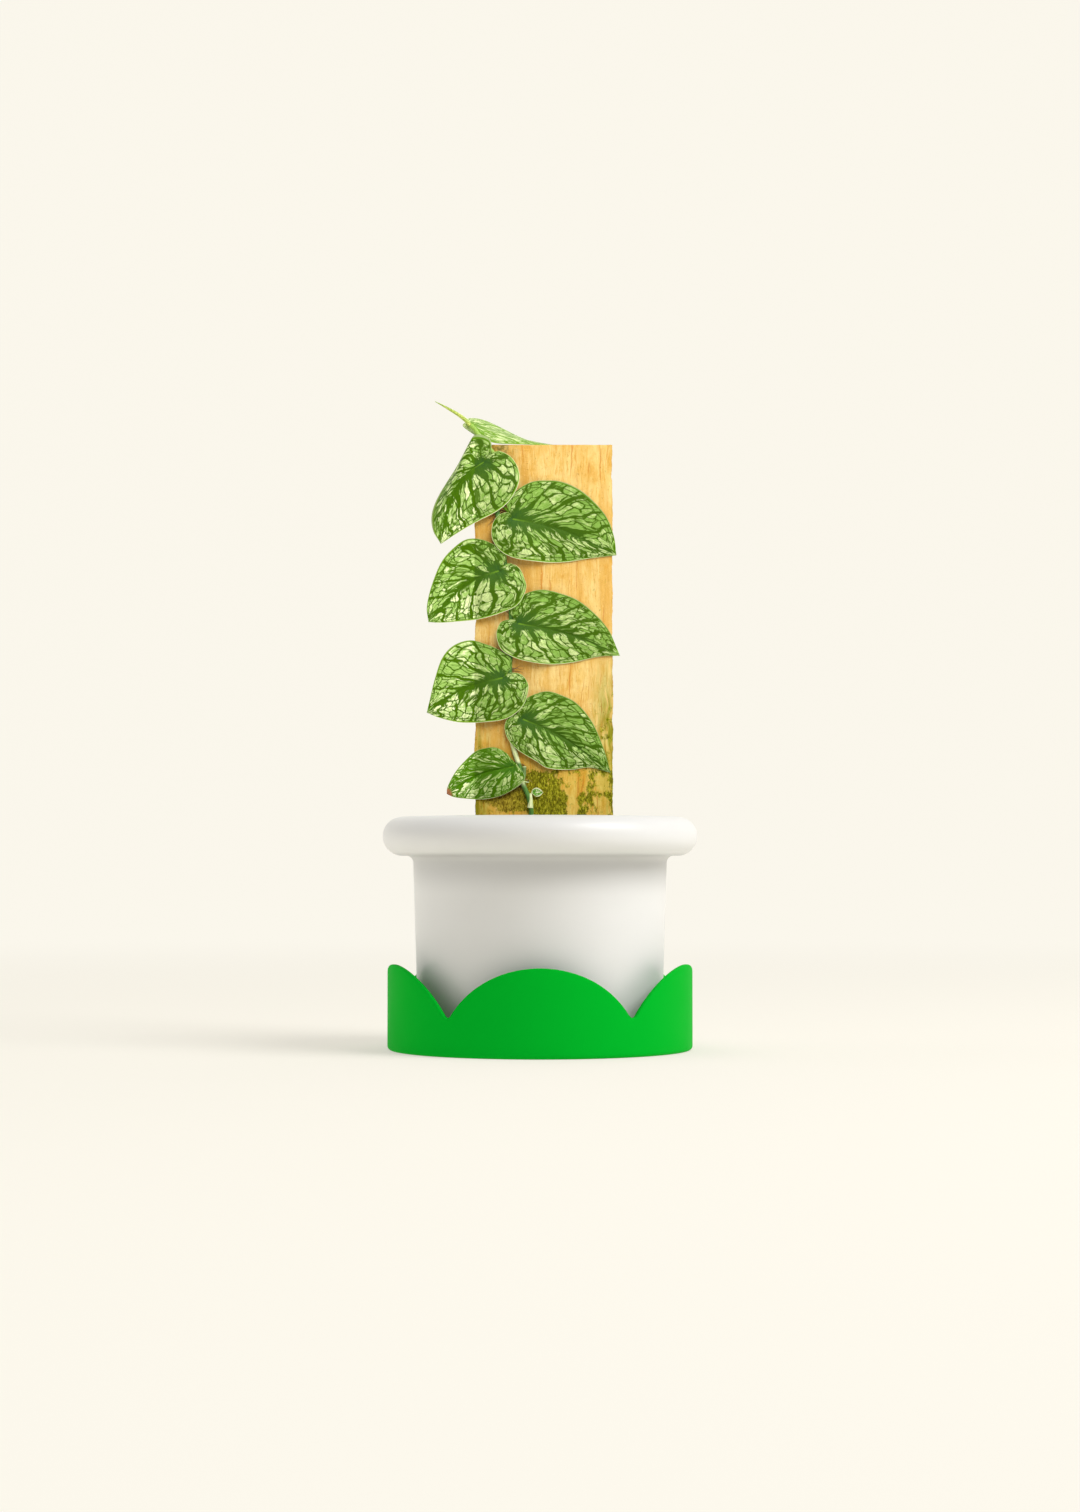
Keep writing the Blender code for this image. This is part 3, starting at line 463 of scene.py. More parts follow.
def tube(points, radii, sides=16, start=0):
    """Rings and faces of a capped tube with low twist. Its ends close on one point each."""
    points = np.array(points, float)
    ahead = np.gradient(points, axis=0)
    ahead /= np.linalg.norm(ahead, axis=1)[:, None]
    side = np.array(Vector(ahead[0]).orthogonal().normalized())
    turns = full_turn(sides)
    rings = []
    for point, forward, radius in zip(points, ahead, radii):
        side = side - forward * side.dot(forward)
        side /= np.linalg.norm(side)
        other = np.cross(forward, side)
        rings.append(point + radius * (np.cos(turns)[:, None] * side + np.sin(turns)[:, None] * other))
    first_end = points[:1] - TUBE_POINT * radii[0] * ahead[:1]
    last_end = points[-1:] + TUBE_POINT * radii[-1] * ahead[-1:]
    return np.vstack(rings + [first_end, last_end]), capped_faces(len(points), sides, start)


def new_object(name, data):
    """An object for a mesh, a light or a camera, in the scene."""
    made = bpy.data.objects.new(name, data)
    bpy.context.scene.collection.objects.link(made)
    return made


def make_piece(name, points, faces, looks, face_looks=None, sharp=None):
    """An object from points in millimetres."""
    mesh = bpy.data.meshes.new(name)
    mesh.from_pydata((np.asarray(points) * MM).tolist(), [], faces)
    for look in looks:
        mesh.materials.append(look)
    if face_looks is not None:
        mesh.polygons.foreach_set("material_index", face_looks)
    mesh.shade_smooth()
    if sharp:
        mesh.set_sharp_from_angle(angle=math.radians(sharp))
    mesh.update()
    return new_object(name, mesh)


def add_value(piece, name, values):
    """A number on each point, which a material reads by its name."""
    made = piece.data.attributes.new(name, "FLOAT", "POINT")
    made.data.foreach_set("value", np.broadcast_to(values, len(piece.data.vertices)).astype(np.float32))


def settle(piece, slot, *nodes):
    """Tie a finished piece to the plant's one body and to the solids it stands for."""
    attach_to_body(piece, "root")
    if nodes:
        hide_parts(*nodes)


# Node trees

def fill(tree, slot, value):
    """Link a socket to an input, or set the input's own value."""
    if isinstance(value, bpy.types.NodeSocket):
        tree.links.new(value, slot)
    elif value is not None:
        slot.default_value = value


def add(tree, kind, *inputs, **settings):
    """Add a node with these properties and with its inputs filled in order."""
    made = tree.nodes.new(kind)
    for key, value in settings.items():
        setattr(made, key, value)
    for slot, value in zip(made.inputs, inputs):
        fill(tree, slot, value)
    return made


def named(tree, kind, inputs, **settings):
    """Add a node and fill its inputs by name."""
    made = add(tree, kind, **settings)
    for key, value in inputs.items():
        fill(tree, made.inputs[key], value)
    return made


def calc(tree, operation, first, second=None, third=None):
    return add(tree, "ShaderNodeMath", first, second, third, operation=operation).outputs[0]


def times_plus(tree, first, second, third):
    """The first times the second, plus the third."""
    return calc(tree, "MULTIPLY_ADD", first, second, third)


def times(tree, first, second):
    return calc(tree, "MULTIPLY", first, second)


def minus(tree, first, second):
    return calc(tree, "SUBTRACT", first, second)


def plus(tree, first, second):
    return calc(tree, "ADD", first, second)


def divided(tree, first, second):
    return calc(tree, "DIVIDE", first, second)


def most(tree, first, second):
    return calc(tree, "MAXIMUM", first, second)


def absolute(tree, value):
    return calc(tree, "ABSOLUTE", value)


def ease(tree, value, low, high, start=0.0, end=1.0):
    """Smooth step of a value from low to high."""
    made = add(tree, "ShaderNodeMapRange", value, low, high, start, end, interpolation_type="SMOOTHSTEP")
    return made.outputs[0]


def blend(tree, share, first, second, mode="MIX"):
    """Mix two colours."""
    made = add(tree, "ShaderNodeMix", data_type="RGBA", blend_type=mode)
    fill(tree, made.inputs[0], share)
    for slot, value in ((made.inputs[6], first), (made.inputs[7], second)):
        if not isinstance(value, bpy.types.NodeSocket):
            value = (*value[:3], 1.0)
        fill(tree, slot, value)
    return made.outputs[2]


def toned(tree, share, colour, gains):
    """A colour of a node, scaled in each channel by this share."""
    return blend(tree, share, colour, blend(tree, 1.0, colour, gains, mode="MULTIPLY"))


def mottle(tree, vector, scale, detail=3.0, rough=0.5):
    """Noise from 0 to 1, with a scale in cells for each unit of the vector."""
    made = named(tree, "ShaderNodeTexNoise",
                 {"Vector": vector, "Scale": scale, "Detail": detail, "Roughness": rough})
    return made.outputs["Fac"]


def stretched(tree, vector, sizes):
    """A vector divided by a size along each axis."""
    scale = tuple(1.0 / size for size in sizes)
    return add(tree, "ShaderNodeVectorMath", vector, scale, operation="MULTIPLY").outputs[0]


def grained(tree, vector, sizes, detail, rough=0.5):
    """Noise whose cells have this size along each axis."""
    return mottle(tree, stretched(tree, vector, sizes), 1.0, detail, rough)


def packed(tree, x, y, z=0.0):
    return add(tree, "ShaderNodeCombineXYZ", x, y, z).outputs[0]


def scaled(tree, x, x_scale, y, y_scale, z):
    """Two values scaled, and a third, as a vector for a texture."""
    return packed(tree, times(tree, x, x_scale), times(tree, y, y_scale), z)


def noise_over(tree, x, x_scale, y, y_scale, z, detail, rough=0.5):
    """Noise over two scaled values, with a third to tell one pattern from the next."""
    return mottle(tree, scaled(tree, x, x_scale, y, y_scale, z), 1.0, detail, rough)


def unpacked(tree, vector):
    return add(tree, "ShaderNodeSeparateXYZ", vector).outputs


def place_mm(tree):
    """Object coordinates in millimetres."""
    spot = add(tree, "ShaderNodeTexCoord").outputs["Object"]
    return add(tree, "ShaderNodeVectorMath", spot, (1000.0,) * 3, operation="MULTIPLY").outputs[0]


def value_of(tree, name):
    """A number that the mesh carries on its points."""
    return add(tree, "ShaderNodeAttribute", attribute_name=name).outputs["Fac"]


def bump(tree, height, distance, normal=None):
    made = named(tree, "ShaderNodeBump", {"Strength": 1.0, "Distance": distance, "Height": height})
    if normal:
        fill(tree, made.inputs["Normal"], normal)
    return made.outputs["Normal"]


def tinted(colour, gains):
    """A colour with each channel scaled, kept under full white."""
    return [min(1.0, channel * gain) for channel, gain in zip(colour, gains)]


def new_look(name):
    """An empty material, its tree and its Principled shader."""
    made = bpy.data.materials.new(name)
    made.use_nodes = True
    return made, made.node_tree, made.node_tree.nodes["Principled BSDF"]


def dress(tree, shader, **inputs):
    """Fill the shader's inputs, whose names are given with underscores for spaces."""
    for key, value in inputs.items():
        slot = shader.inputs[key.replace("_", " ")]
        if slot.type == "RGBA" and not isinstance(value, bpy.types.NodeSocket):
            value = (*value[:3], 1.0)
        fill(tree, slot, value)


def new_group(name, inputs, outputs):
    """A shader node group whose outputs are values, with its input and output nodes."""
    tree = bpy.data.node_groups.new(name, "ShaderNodeTree")
    for label, kind, value in inputs:
        made = tree.interface.new_socket(label, in_out="INPUT", socket_type="NodeSocket" + kind)
        if value is not None:
            made.default_value = value
    for label in outputs:
        tree.interface.new_socket(label, in_out="OUTPUT", socket_type="NodeSocketFloat")
    return tree, tree.nodes.new("NodeGroupInput").outputs, tree.nodes.new("NodeGroupOutput")


def use_group(tree, group, **inputs):
    made = tree.nodes.new("ShaderNodeGroup")
    made.node_tree = group
    for key, value in inputs.items():
        fill(tree, made.inputs[key.replace("_", " ")], value)
    return made.outputs


def once(name, build):
    """The node group of this name, built the first time that it is asked for."""
    return bpy.data.node_groups.get(name) or build(name)


def build_glaze_group(name):
    """Slow waves and a fine orange peel, as the height of a glazed surface."""
    tree, given, output = new_group(
        name,
        [("Place", "Vector", None), ("Wave Size", "Float", 20.0), ("Peel Size", "Float", 1.6),
         ("Peel Share", "Float", 0.1)],
        ("Height", "Cloud"))
    wave = mottle(tree, given["Place"], divided(tree, 1.0, given["Wave Size"]), 1.0)
    peel = mottle(tree, given["Place"], divided(tree, 1.0, given["Peel Size"]), 2.0)
    fill(tree, output.inputs["Height"], times_plus(tree, peel, given["Peel Share"], wave))
    fill(tree, output.inputs["Cloud"], wave)
    return tree


def build_marks_group(name):
    """Silver marks between dark veins, from a blade's own map.

    The map runs from the notch to the tip in x, and from the midrib to the margin in y,
    with one half of the blade on each side of zero.
    """
    tree, given, output = new_group(
        name,
        [("Map", "Vector", None), ("Number", "Float", 0.0), ("Veins", "Float", 10.0),
         ("Silver", "Float", 0.9)],
        ("Marks", "Tone", "Base", "Rim", "Edge", "Midrib", "Height"))
    u, v, _ = unpacked(tree, given["Map"])
    w = absolute(tree, v)
    half = calc(tree, "SIGN", v)
    seed = times_plus(tree, given["Number"], 5.3, times(tree, half, 1.7))

    drift = minus(tree, noise_over(tree, u, 4.0, w, 2.2, seed, 1.0), 0.5)
    lean = times(tree, w, ease(tree, u, 0.50, 0.95, VEIN_FAN, 0.0))
    fan = divided(tree, times_plus(tree, lean, 0.3, u), plus(tree, lean, 1.0))
    vein = times_plus(tree, half, 0.37, times(tree, fan, given["Veins"]))
    vein = times_plus(tree, drift, 0.9, vein)
    turn = calc(tree, "ROUND", vein)
    to_vein = absolute(tree, minus(tree, vein, turn))
    brush = minus(tree, noise_over(tree, vein, 11.0, w, 2.2, seed, 3.0, 0.6), 0.5)
    crumble = minus(tree, noise_over(tree, vein, 5.0, w, 15.0, seed, 2.0), 0.5)

    weight = noise_over(tree, turn, 3.7, w, 1.5, seed, 1.0)
    width = times(tree, ease(tree, w, 0.08, 0.60, 0.25, 0.055), ease(tree, u, 0.35, 0.75, 1.0, 0.5))
    width = most(tree, width, 0.055)
    width = times(tree, width, ease(tree, weight, 0.3, 0.7, 0.70, 1.30))
    side = times_plus(tree, crumble, 0.13, times_plus(tree, brush, 0.16, to_vein))
    between = ease(tree, minus(tree, side, width), 0.0, 0.055)

    bent = minus(tree, noise_over(tree, vein, 1.2, w, 5.0, seed, 1.0), 0.5)
    row = times(tree, calc(tree, "POWER", w, 1.6), 4.0)
    spot = packed(tree, times_plus(tree, bent, 1.1, times_plus(tree, vein, 2.7, 0.8)),
                  times_plus(tree, bent, -0.8, row), seed)
    cell = named(tree, "ShaderNodeTexVoronoi", {"Vector": spot, "Scale": 1.0, "Randomness": 0.72},
                 feature="DISTANCE_TO_EDGE")
    gone = ease(tree, brush, -0.10, 0.10, 0.06, -0.015)
    border = plus(tree, gone, times_plus(tree, crumble, 0.10, cell.outputs["Distance"]))
    tiles = ease(tree, border, 0.045, 0.135)
    fine = named(tree, "ShaderNodeTexVoronoi", {"Vector": spot, "Scale": 4.2, "Randomness": 1.0},
                 feature="DISTANCE_TO_EDGE")
    strands = noise_over(tree, vein, 24.0, w, 6.0, seed, 2.0)
    net = times(tree, ease(tree, fine.outputs["Distance"], 0.0, 0.16, 0.80, 1.0),
                ease(tree, strands, 0.34, 0.54, 0.70, 1.0))
    tint = named(tree, "ShaderNodeTexVoronoi", {"Vector": spot, "Scale": 1.0, "Randomness": 0.72})
    tone = unpacked(tree, tint.outputs["Color"])[0]

    centre = ease(tree, u, 0.12, 0.62, 0.30, 0.09)
    centre = times_plus(tree, drift, 0.20, centre)
    inward = minus(tree, times_plus(tree, brush, 0.60, w), centre)
    outside = ease(tree, inward, 0.0, 0.06)

    loop = absolute(tree, minus(tree, w, times_plus(tree, bent, -0.10, 0.885)))
    loop = ease(tree, loop, 0.008, 0.022)
    rim = ease(tree, w, 0.956, 0.972)

    marks = raised = times(tree, between, tiles)
    for mask in (outside, times_plus(tree, loop, 0.75, 0.25), minus(tree, 1.0, rim), net):
        marks = times(tree, marks, mask)
    amount = minus(tree, given["Silver"], ease(tree, v, -0.1, 0.1, 0.0, 0.10))
    kept = plus(tree, times_plus(tree, tone, 0.4, brush), times_plus(tree, amount, 0.55, -0.38))
    worn = ease(tree, kept, 0.0, 0.09, 0.17, 1.0)
    shade = times_plus(tree, tone, 0.45, ease(tree, v, -0.1, 0.1, 0.0, -0.13))
    near = times(tree, ease(tree, w, 0.05, 0.50, 1.0, 0.0), ease(tree, u, 0.15, 0.75, 1.0, 0.25))
    # The pale line round the margin is partly the blade's own pale edge and partly painted highlight,
    # painted stronger along the lower margin.
    lower = ease(tree, v, 0.0, -0.1, 0.35, 1.0)
    line = times(tree, ease(tree, w, 0.030, 0.004), ease(tree, u, 0.66, 0.22))
    results = {"Marks": times(tree, marks, worn), "Tone": plus(tree, shade, crumble), "Base": near,
               "Rim": rim, "Edge": times(tree, ease(tree, w, 0.982, 0.992), lower), "Midrib": line,
               "Height": times_plus(tree, crumble, 0.3, raised)}
    for label, value in results.items():
        fill(tree, output.inputs[label], value)
    return tree


def new_grower(name, **inputs):
    """An empty tree of geometry nodes, with these named inputs, and its inputs' sockets."""
    tree = bpy.data.node_groups.new(name, "GeometryNodeTree")
    for label, kind in {"Geometry": "Geometry", **inputs}.items():
        tree.interface.new_socket(label, in_out="INPUT", socket_type="NodeSocket" + kind)
    tree.interface.new_socket("Geometry", in_out="OUTPUT", socket_type="NodeSocketGeometry")
    return tree, tree.nodes.new("NodeGroupInput").outputs


def strewn_points(tree, given):
    """Points over a surface, as dense as its cover value allows."""
    cover = named(tree, "GeometryNodeInputNamedAttribute", {"Name": "cover"}, data_type="FLOAT")
    density = times(tree, cover.outputs[0], given["Density"])
    return named(tree, "GeometryNodeDistributePointsOnFaces",
                 {"Mesh": given["Geometry"], "Density": density, "Seed": given["Seed"]})


def drawn_value(tree, given, low, high, kind="FLOAT_VECTOR"):
    """A random value for each instance, from the tree's own seed."""
    return named(tree, "FunctionNodeRandomValue",
                 {"Min": low, "Max": high, "Seed": given["Seed"]}, data_type=kind)


def end_grower(tree, geometry, material):
    """Give the grown geometry its material, and hand it out."""
    done = named(tree, "GeometryNodeSetMaterial", {"Geometry": geometry, "Material": material})
    tree.links.new(done.outputs[0], tree.nodes.new("NodeGroupOutput").inputs[0])
    return tree


def blade_map(tree):
    """Where on its blade a point lies: notch to tip, and midrib to margin."""
    return add(tree, "ShaderNodeUVMap", uv_map="blade").outputs[0]


def blade_marks(tree, mapped, number, veins, silver):
    """The masks of the leaf marks, the same for every finish that shows them."""
    return use_group(tree, once("shingle leaf marks", build_marks_group), Map=mapped,
                     Number=number, Veins=veins, Silver=silver)


# Finishes

def saucer_glaze(look):
    made, tree, shader = new_look("satin green glaze")
    spot = place_mm(tree)
    glaze = use_group(tree, once("glaze surface", build_glaze_group), Place=spot, Wave_Size=24.0,
                      Peel_Size=0.7, Peel_Share=0.5)
    colour = blend(tree, ease(tree, glaze["Cloud"], 0.3, 0.7, 0.0, 0.12), look.glaze,
                   tinted(look.glaze, (1.0, 0.95, 0.95)))
    # Painted shade: light bouncing off the glaze is given a dark grey in place of its green, so the pot
    # beside the saucer takes a grey shade and no green glow.
    bounce_shade = times(tree, add(tree, "ShaderNodeLightPath").outputs["Is Diffuse Ray"], 0.65)
    colour = blend(tree, bounce_shade, colour, (0.10, 0.16, 0.09))
    dress(tree, shader, Base_Color=colour, Roughness=ease(tree, glaze["Cloud"], 0.2, 0.8, 0.50, 0.56),
          Specular_IOR_Level=0.02, Normal=bump(tree, glaze["Height"], look.texture))
    return made


def pot_glaze(look):
    made, tree, shader = new_look("white pot glaze")
    spot = place_mm(tree)
    glaze = use_group(tree, once("glaze surface", build_glaze_group), Wave_Size=34.0, Peel_Size=1.4,
                      Peel_Share=0.02, Place=stretched(tree, spot, (1.0, 1.0, 0.55)))
    height = unpacked(tree, spot)[2]
    edge = times_plus(tree, mottle(tree, spot, 0.25), 0.8, POT_FOOT + 1.5)
    glazed = ease(tree, minus(tree, height, edge), 0.0, 0.25)
    cloud_and_rim_shade = blend(tree, ease(tree, glaze["Cloud"], 0.35, 0.7, 0.0, 0.5), look.glaze,
                   tinted(look.glaze, (0.985,) * 3))
    gloss = ease(tree, mottle(tree, spot, 0.05, 3.0), 0.3, 0.7, 0.36, 0.42)
    # Painted shade: the glaze is darkened in a soft band just under the rim's roll, where the roll shades
    # the body.
    rim_base = POT_TOP - 2.0 * RIM_ROLL
    rim_shade = times(tree, ease(tree, height, rim_base - 26.0, rim_base - 5.0),
                   ease(tree, height, rim_base + 2.5, rim_base))
    cloud_and_rim_shade = blend(tree, rim_shade, cloud_and_rim_shade, tinted(look.glaze, (0.76,) * 3))
    gritty = mottle(tree, spot, 2.0, 4.0)
    clay = blend(tree, gritty, look.clay, tinted(look.clay, (0.82,) * 3))
    rough = times_plus(tree, glazed, minus(tree, gloss, 0.85), 0.85)
    dress(tree, shader, Base_Color=blend(tree, glazed, clay, cloud_and_rim_shade), Roughness=rough,
          Coat_Roughness=0.22, Coat_Weight=times(tree, glazed, 0.10),
          Normal=bump(tree, glaze["Height"], look.waviness))
    return made


def crumb_finish(name, colour, shade, grain, depth=0.0004, rough=0.95):
    """A dry, rough, two-toned finish for soil, bark and grit."""
    made, tree, shader = new_look(name)
    spot = place_mm(tree)
    patch = mottle(tree, spot, 1.0 / grain, 4.0, 0.6)
    colour = blend(tree, ease(tree, patch, 0.35, 0.68), tinted(colour, (shade,) * 3), colour)
    dress(tree, shader, Base_Color=colour, Roughness=ease(tree, patch, 0.3, 0.8, rough, rough - 0.2),
          Specular_IOR_Level=0.3, Normal=bump(tree, mottle(tree, spot, 3.0 / grain, 5.0, 0.6), depth))
    return made


def wood_finish(look):
    """Raw sawn wood, its rings cut lengthways on the faces and across at the ends."""
    made, tree, shader = new_look("raw sawn wood")
    spot = place_mm(tree)
    x, y, z = unpacked(tree, spot)

    warp = grained(tree, spot, (40.0, 40.0, 150.0), 2.0)
    off_x = minus(tree, x, PITH[0])
    off_y = minus(tree, y, PITH[1])
    radius = calc(tree, "SQRT", plus(tree, times(tree, off_x, off_x), times(tree, off_y, off_y)))
    turn = divided(tree, times_plus(tree, warp, 26.0, radius), look.ring)
    ring = calc(tree, "FRACT", turn)
    ring = times(tree, ease(tree, ring, 0.35, 0.92), ease(tree, ring, 0.94, 1.0, 1.0, 0.0))

    sway = grained(tree, spot, (9.0, 9.0, 16.0), 2.0)
    wavy = add(tree, "ShaderNodeVectorMath", spot, packed(tree, times(tree, sway, 5.0), 0.0, 0.0),
               operation="ADD").outputs[0]
    fibre = grained(tree, wavy, (0.75, 0.75, 11.0), 4.0, 0.7)
    broad = grained(tree, spot, (7.0, 9.0, 90.0), 2.0)
    patch = grained(tree, wavy, (9.0, 9.0, 15.0), 5.0, 0.65)
    fleck = grained(tree, spot, (1.1, 1.1, 2.6), 4.0, 0.75)
    arcs = times_plus(tree, times(tree, x, x), -0.006, z)
    saw = mottle(tree, packed(tree, times(tree, x, 0.08), times(tree, y, 0.08),
                              times_plus(tree, sway, 2.5, times(tree, arcs, 0.9))), 1.0, 1.0)
    saw = times(tree, ease(tree, saw, 0.56, 0.70), ease(tree, broad, 0.42, 0.62))
    pale = tinted(look.wood, (1.06, 1.16, 1.45))
    warm = tinted(look.wood, (0.95, 0.86, 0.72))
    dark = tinted(look.late_wood, (0.62, 0.52, 0.45))

    colour = blend(tree, ease(tree, x, BOARD_LEFT, BOARD_RIGHT), warm, look.wood)
    crack = grained(tree, wavy, (1.5, 1.5, 38.0), 1.0)
    late = look.late_wood
    for share, tone in (
            (ease(tree, patch, 0.44, 0.64, 0.0, 0.85), pale), (times(tree, ring, 0.30), late),
            (ease(tree, broad, 0.50, 0.64, 0.0, 0.55), late),
            (ease(tree, patch, 0.48, 0.34, 0.0, 0.70), late),
            (ease(tree, fibre, 0.50, 0.66, 0.0, 0.80), late), (times(tree, saw, 0.16), late),
            (ease(tree, crack, 0.66, 0.71, 0.0, 0.60), tinted(late, (0.85, 0.58, 0.5))),
            (ease(tree, fleck, 0.60, 0.70, 0.0, 0.65), dark),
            (ease(tree, fleck, 0.40, 0.28, 0.0, 0.75), pale)):
        colour = blend(tree, share, colour, tone)

    facing = unpacked(tree, add(tree, "ShaderNodeNewGeometry").outputs["True Normal"])[2]
    end = ease(tree, absolute(tree, facing), 0.6, 0.8)
    pores = grained(tree, spot, (0.7, 0.7, 0.7), 3.0)
    end_colour = blend(tree, times(tree, ring, 0.7), warm, look.late_wood)
    end_colour = blend(tree, ease(tree, pores, 0.55, 0.75, 0.0, 0.5), end_colour, dark)
    colour = blend(tree, end, colour, end_colour)

    side = most(tree, ease(tree, x, BOARD_LEFT + 3.5, BOARD_LEFT - 0.3),
                ease(tree, x, BOARD_RIGHT - 2.2, BOARD_RIGHT + 0.3))
    worn = times(tree, side, ease(tree, patch, 0.35, 0.6, 0.75, 0.25))
    colour = blend(tree, worn, colour, tinted(look.late_wood, (0.85, 0.95, 0.8)))
    # Painted shade: mottled dark olive specks on the front near the board's top, toward its left, where the
    # first leaf and the stem's top shade it.
    shadowed = times(tree, ease(tree, z, 374.0, 388.0), ease(tree, x, -10.0, -27.0))
    mottled_shade = times(tree, shadowed, ease(tree, mottle(tree, spot, 0.35, 4.0, 0.7), 0.35, 0.6, 0.2, 0.9))
    colour = blend(tree, mottled_shade, colour, (0.16, 0.13, 0.02))

    depth, torn = algae_depth(tree, spot, x, z)
    film = ease(tree, times_plus(tree, torn, 3.0, depth), 0.38, 0.72, 0.0, 0.95)
    green = film_colour(tree, spot, look.algae)
    stain = ease(tree, z, 214.0, 176.0, 0.0, 0.85)
    colour = toned(tree, stain, colour, (0.96, 0.99, 0.55))
    streaks = grained(tree, wavy, (2.4, 2.4, 20.0), 3.0)
    running = ease(tree, streaks, 0.36, 0.60, 0.25, 1.0)
    right = times(tree, ease(tree, x, 29.0, 45.0), ease(tree, z, 266.0, 203.0))
    right = times(tree, right, ease(tree, z, 174.0, 192.0, 0.35, 1.0))
    left = times(tree, ease(tree, x, -28.0, -42.0), ease(tree, z, 222.0, 186.0))
    greening = times(tree, most(tree, right, left), running)
    colour = toned(tree, greening, colour, (0.36, 0.52, 0.12))
    colour = blend(tree, film, colour, green)

    grooves = times_plus(tree, fleck, 0.7, times_plus(tree, saw, 0.25, fibre))
    height = blend(tree, end, packed(tree, grooves, grooves, grooves), packed(tree, pores, pores, pores))
    dress(tree, shader, Base_Color=colour, Roughness=ease(tree, film, 0.0, 1.0, 0.82, 0.95),
          Specular_IOR_Level=0.04, Normal=bump(tree, height, 0.00030))
    return made


def film_colour(tree, spot, algae):
    """Specks of light and dark green, browner toward the board's left."""
    speck = grained(tree, spot, (0.9, 0.9, 1.8), 5.0, 0.75)
    green = blend(tree, ease(tree, speck, 0.38, 0.51), tinted(algae, (0.26, 0.26, 0.3)), algae)
    green = blend(tree, ease(tree, speck, 0.50, 0.64), green, tinted(algae, (3.1, 2.8, 9.0)))
    brown = blend(tree, ease(tree, speck, 0.38, 0.62), tinted(algae, (0.65, 0.36, 0.8)),
                  tinted(algae, (3.0, 2.1, 11.0)))
    return blend(tree, ease(tree, unpacked(tree, spot)[0], 0.0, -26.0, 0.0, 0.75), green, brown)


def algae_depth(tree, spot, x, z):
    """How much green film the wood holds, thinning upwards, and the noise that breaks its edge."""
    cloud = grained(tree, spot, (13.0, 13.0, 18.0), 3.0, 0.6)
    foot = ease(tree, z, 188.0, 174.0, 0.0, 1.0)
    right_edge = times(tree, ease(tree, x, 30.0, 46.0), ease(tree, z, 246.0, 205.0))
    left_edge = times(tree, ease(tree, x, -30.0, -42.0), ease(tree, z, 214.0, 188.0))
    edges = times(tree, most(tree, right_edge, left_edge), 0.44)
    depth = most(tree, foot, edges)
    for (centre_x, centre_z), (half_x, half_z) in BARE_PATCHES:
        across = divided(tree, minus(tree, x, centre_x), half_x)
        up = divided(tree, minus(tree, z, centre_z), half_z)
        reach = plus(tree, times(tree, across, across), times(tree, up, up))
        reach = times_plus(tree, minus(tree, cloud, 0.5), 4.5, reach)
        depth = times(tree, depth, ease(tree, reach, 0.0, 2.6, 0.22, 1.0))
    torn = grained(tree, spot, (3.4, 3.4, 5.5), 6.0, 0.72)
    return depth, minus(tree, torn, 0.5)


def moss_finish(look):
    """The short leaflets, coloured as the film that they stand in."""
    made, tree, shader = new_look("moss")
    spot = place_mm(tree)
    colour = film_colour(tree, spot, tinted(look.algae, (1.25, 1.25, 1.25)))
    rough = ease(tree, mottle(tree, spot, 0.7), 0.3, 0.7, 0.82, 0.95)
    dress(tree, shader, Base_Color=colour, Roughness=rough, Specular_IOR_Level=0.04)
    return made


def leaf_finish(look):
    """The upper side of a leaf: dark veins, silver marks and a thin bright margin."""
    made, tree, shader = new_look("silver-marked leaf")
    mapped = blade_map(tree)
    marks = blade_marks(tree, mapped, value_of(tree, "number"), look.veins, value_of(tree, "silver"))
    spot = place_mm(tree)
    x = unpacked(tree, spot)[0]
    # Painted light: where a blade reaches past the board's side it is painted brighter and yellower, as if
    # lit through from behind.
    middle = 0.5 * (BOARD_LEFT + BOARD_RIGHT)
    beyond = ease(tree, absolute(tree, minus(tree, x, middle)), 44.3, 45.0)
    grain = mottle(tree, spot, 1.4, 3.0, 0.6)
    green = blend(tree, marks["Base"], look.dark, look.deep)
    green = blend(tree, ease(tree, grain, 0.40, 0.7, 0.0, 0.45), green, tinted(look.dark, (1.7, 1.5, 2.0)))
    fresher = ease(tree, value_of(tree, "silver"), 0.72, 0.64)
    green = toned(tree, fresher, green, (1.20, 1.40, 0.6))
    green = toned(tree, beyond, green, (1.32, 1.36, 0.5))
    silver = blend(tree, ease(tree, marks["Tone"], 0.0, 0.50), tinted(look.silver, (0.50, 0.68, 0.34)),
                   look.silver)
    silver = blend(tree, ease(tree, plus(tree, marks["Tone"], grain), 0.70, 1.05), silver,
                   tinted(look.silver, (1.32, 1.20, 1.50)))
    silver = toned(tree, beyond, silver, (1.72, 1.56, 2.05))
    colour = blend(tree, marks["Marks"], green, silver)
    upper = unpacked(tree, mapped)[1]
    rim = blend(tree, ease(tree, upper, -0.1, 0.1), look.rim, tinted(look.rim, (0.62, 0.66, 0.6)))
    rim = toned(tree, beyond, rim, (1.35, 1.25, 0.5))
    colour = blend(tree, marks["Rim"], colour, rim)
    colour = blend(tree, times(tree, marks["Midrib"], 0.85), colour, tinted(look.rim, (1.3, 1.2, 1.8)))
    # The pale margin line, partly painted highlight along the lower margin.
    colour = blend(tree, marks["Edge"], colour, look.edge)
    husk = blend(tree, grain, (0.30, 0.09, 0.035), (0.60, 0.27, 0.12))
    colour = blend(tree, value_of(tree, "dry"), colour, husk)
    rough = ease(tree, marks["Marks"], 0.0, 1.0, 0.46, 0.58)
    quilt = bump(tree, marks["Height"], 0.00014)
    dress(tree, shader, Base_Color=colour, Roughness=rough, Specular_IOR_Level=0.06,
          Normal=bump(tree, mottle(tree, spot, 2.6, 2.0), 0.00004, quilt))
    return made


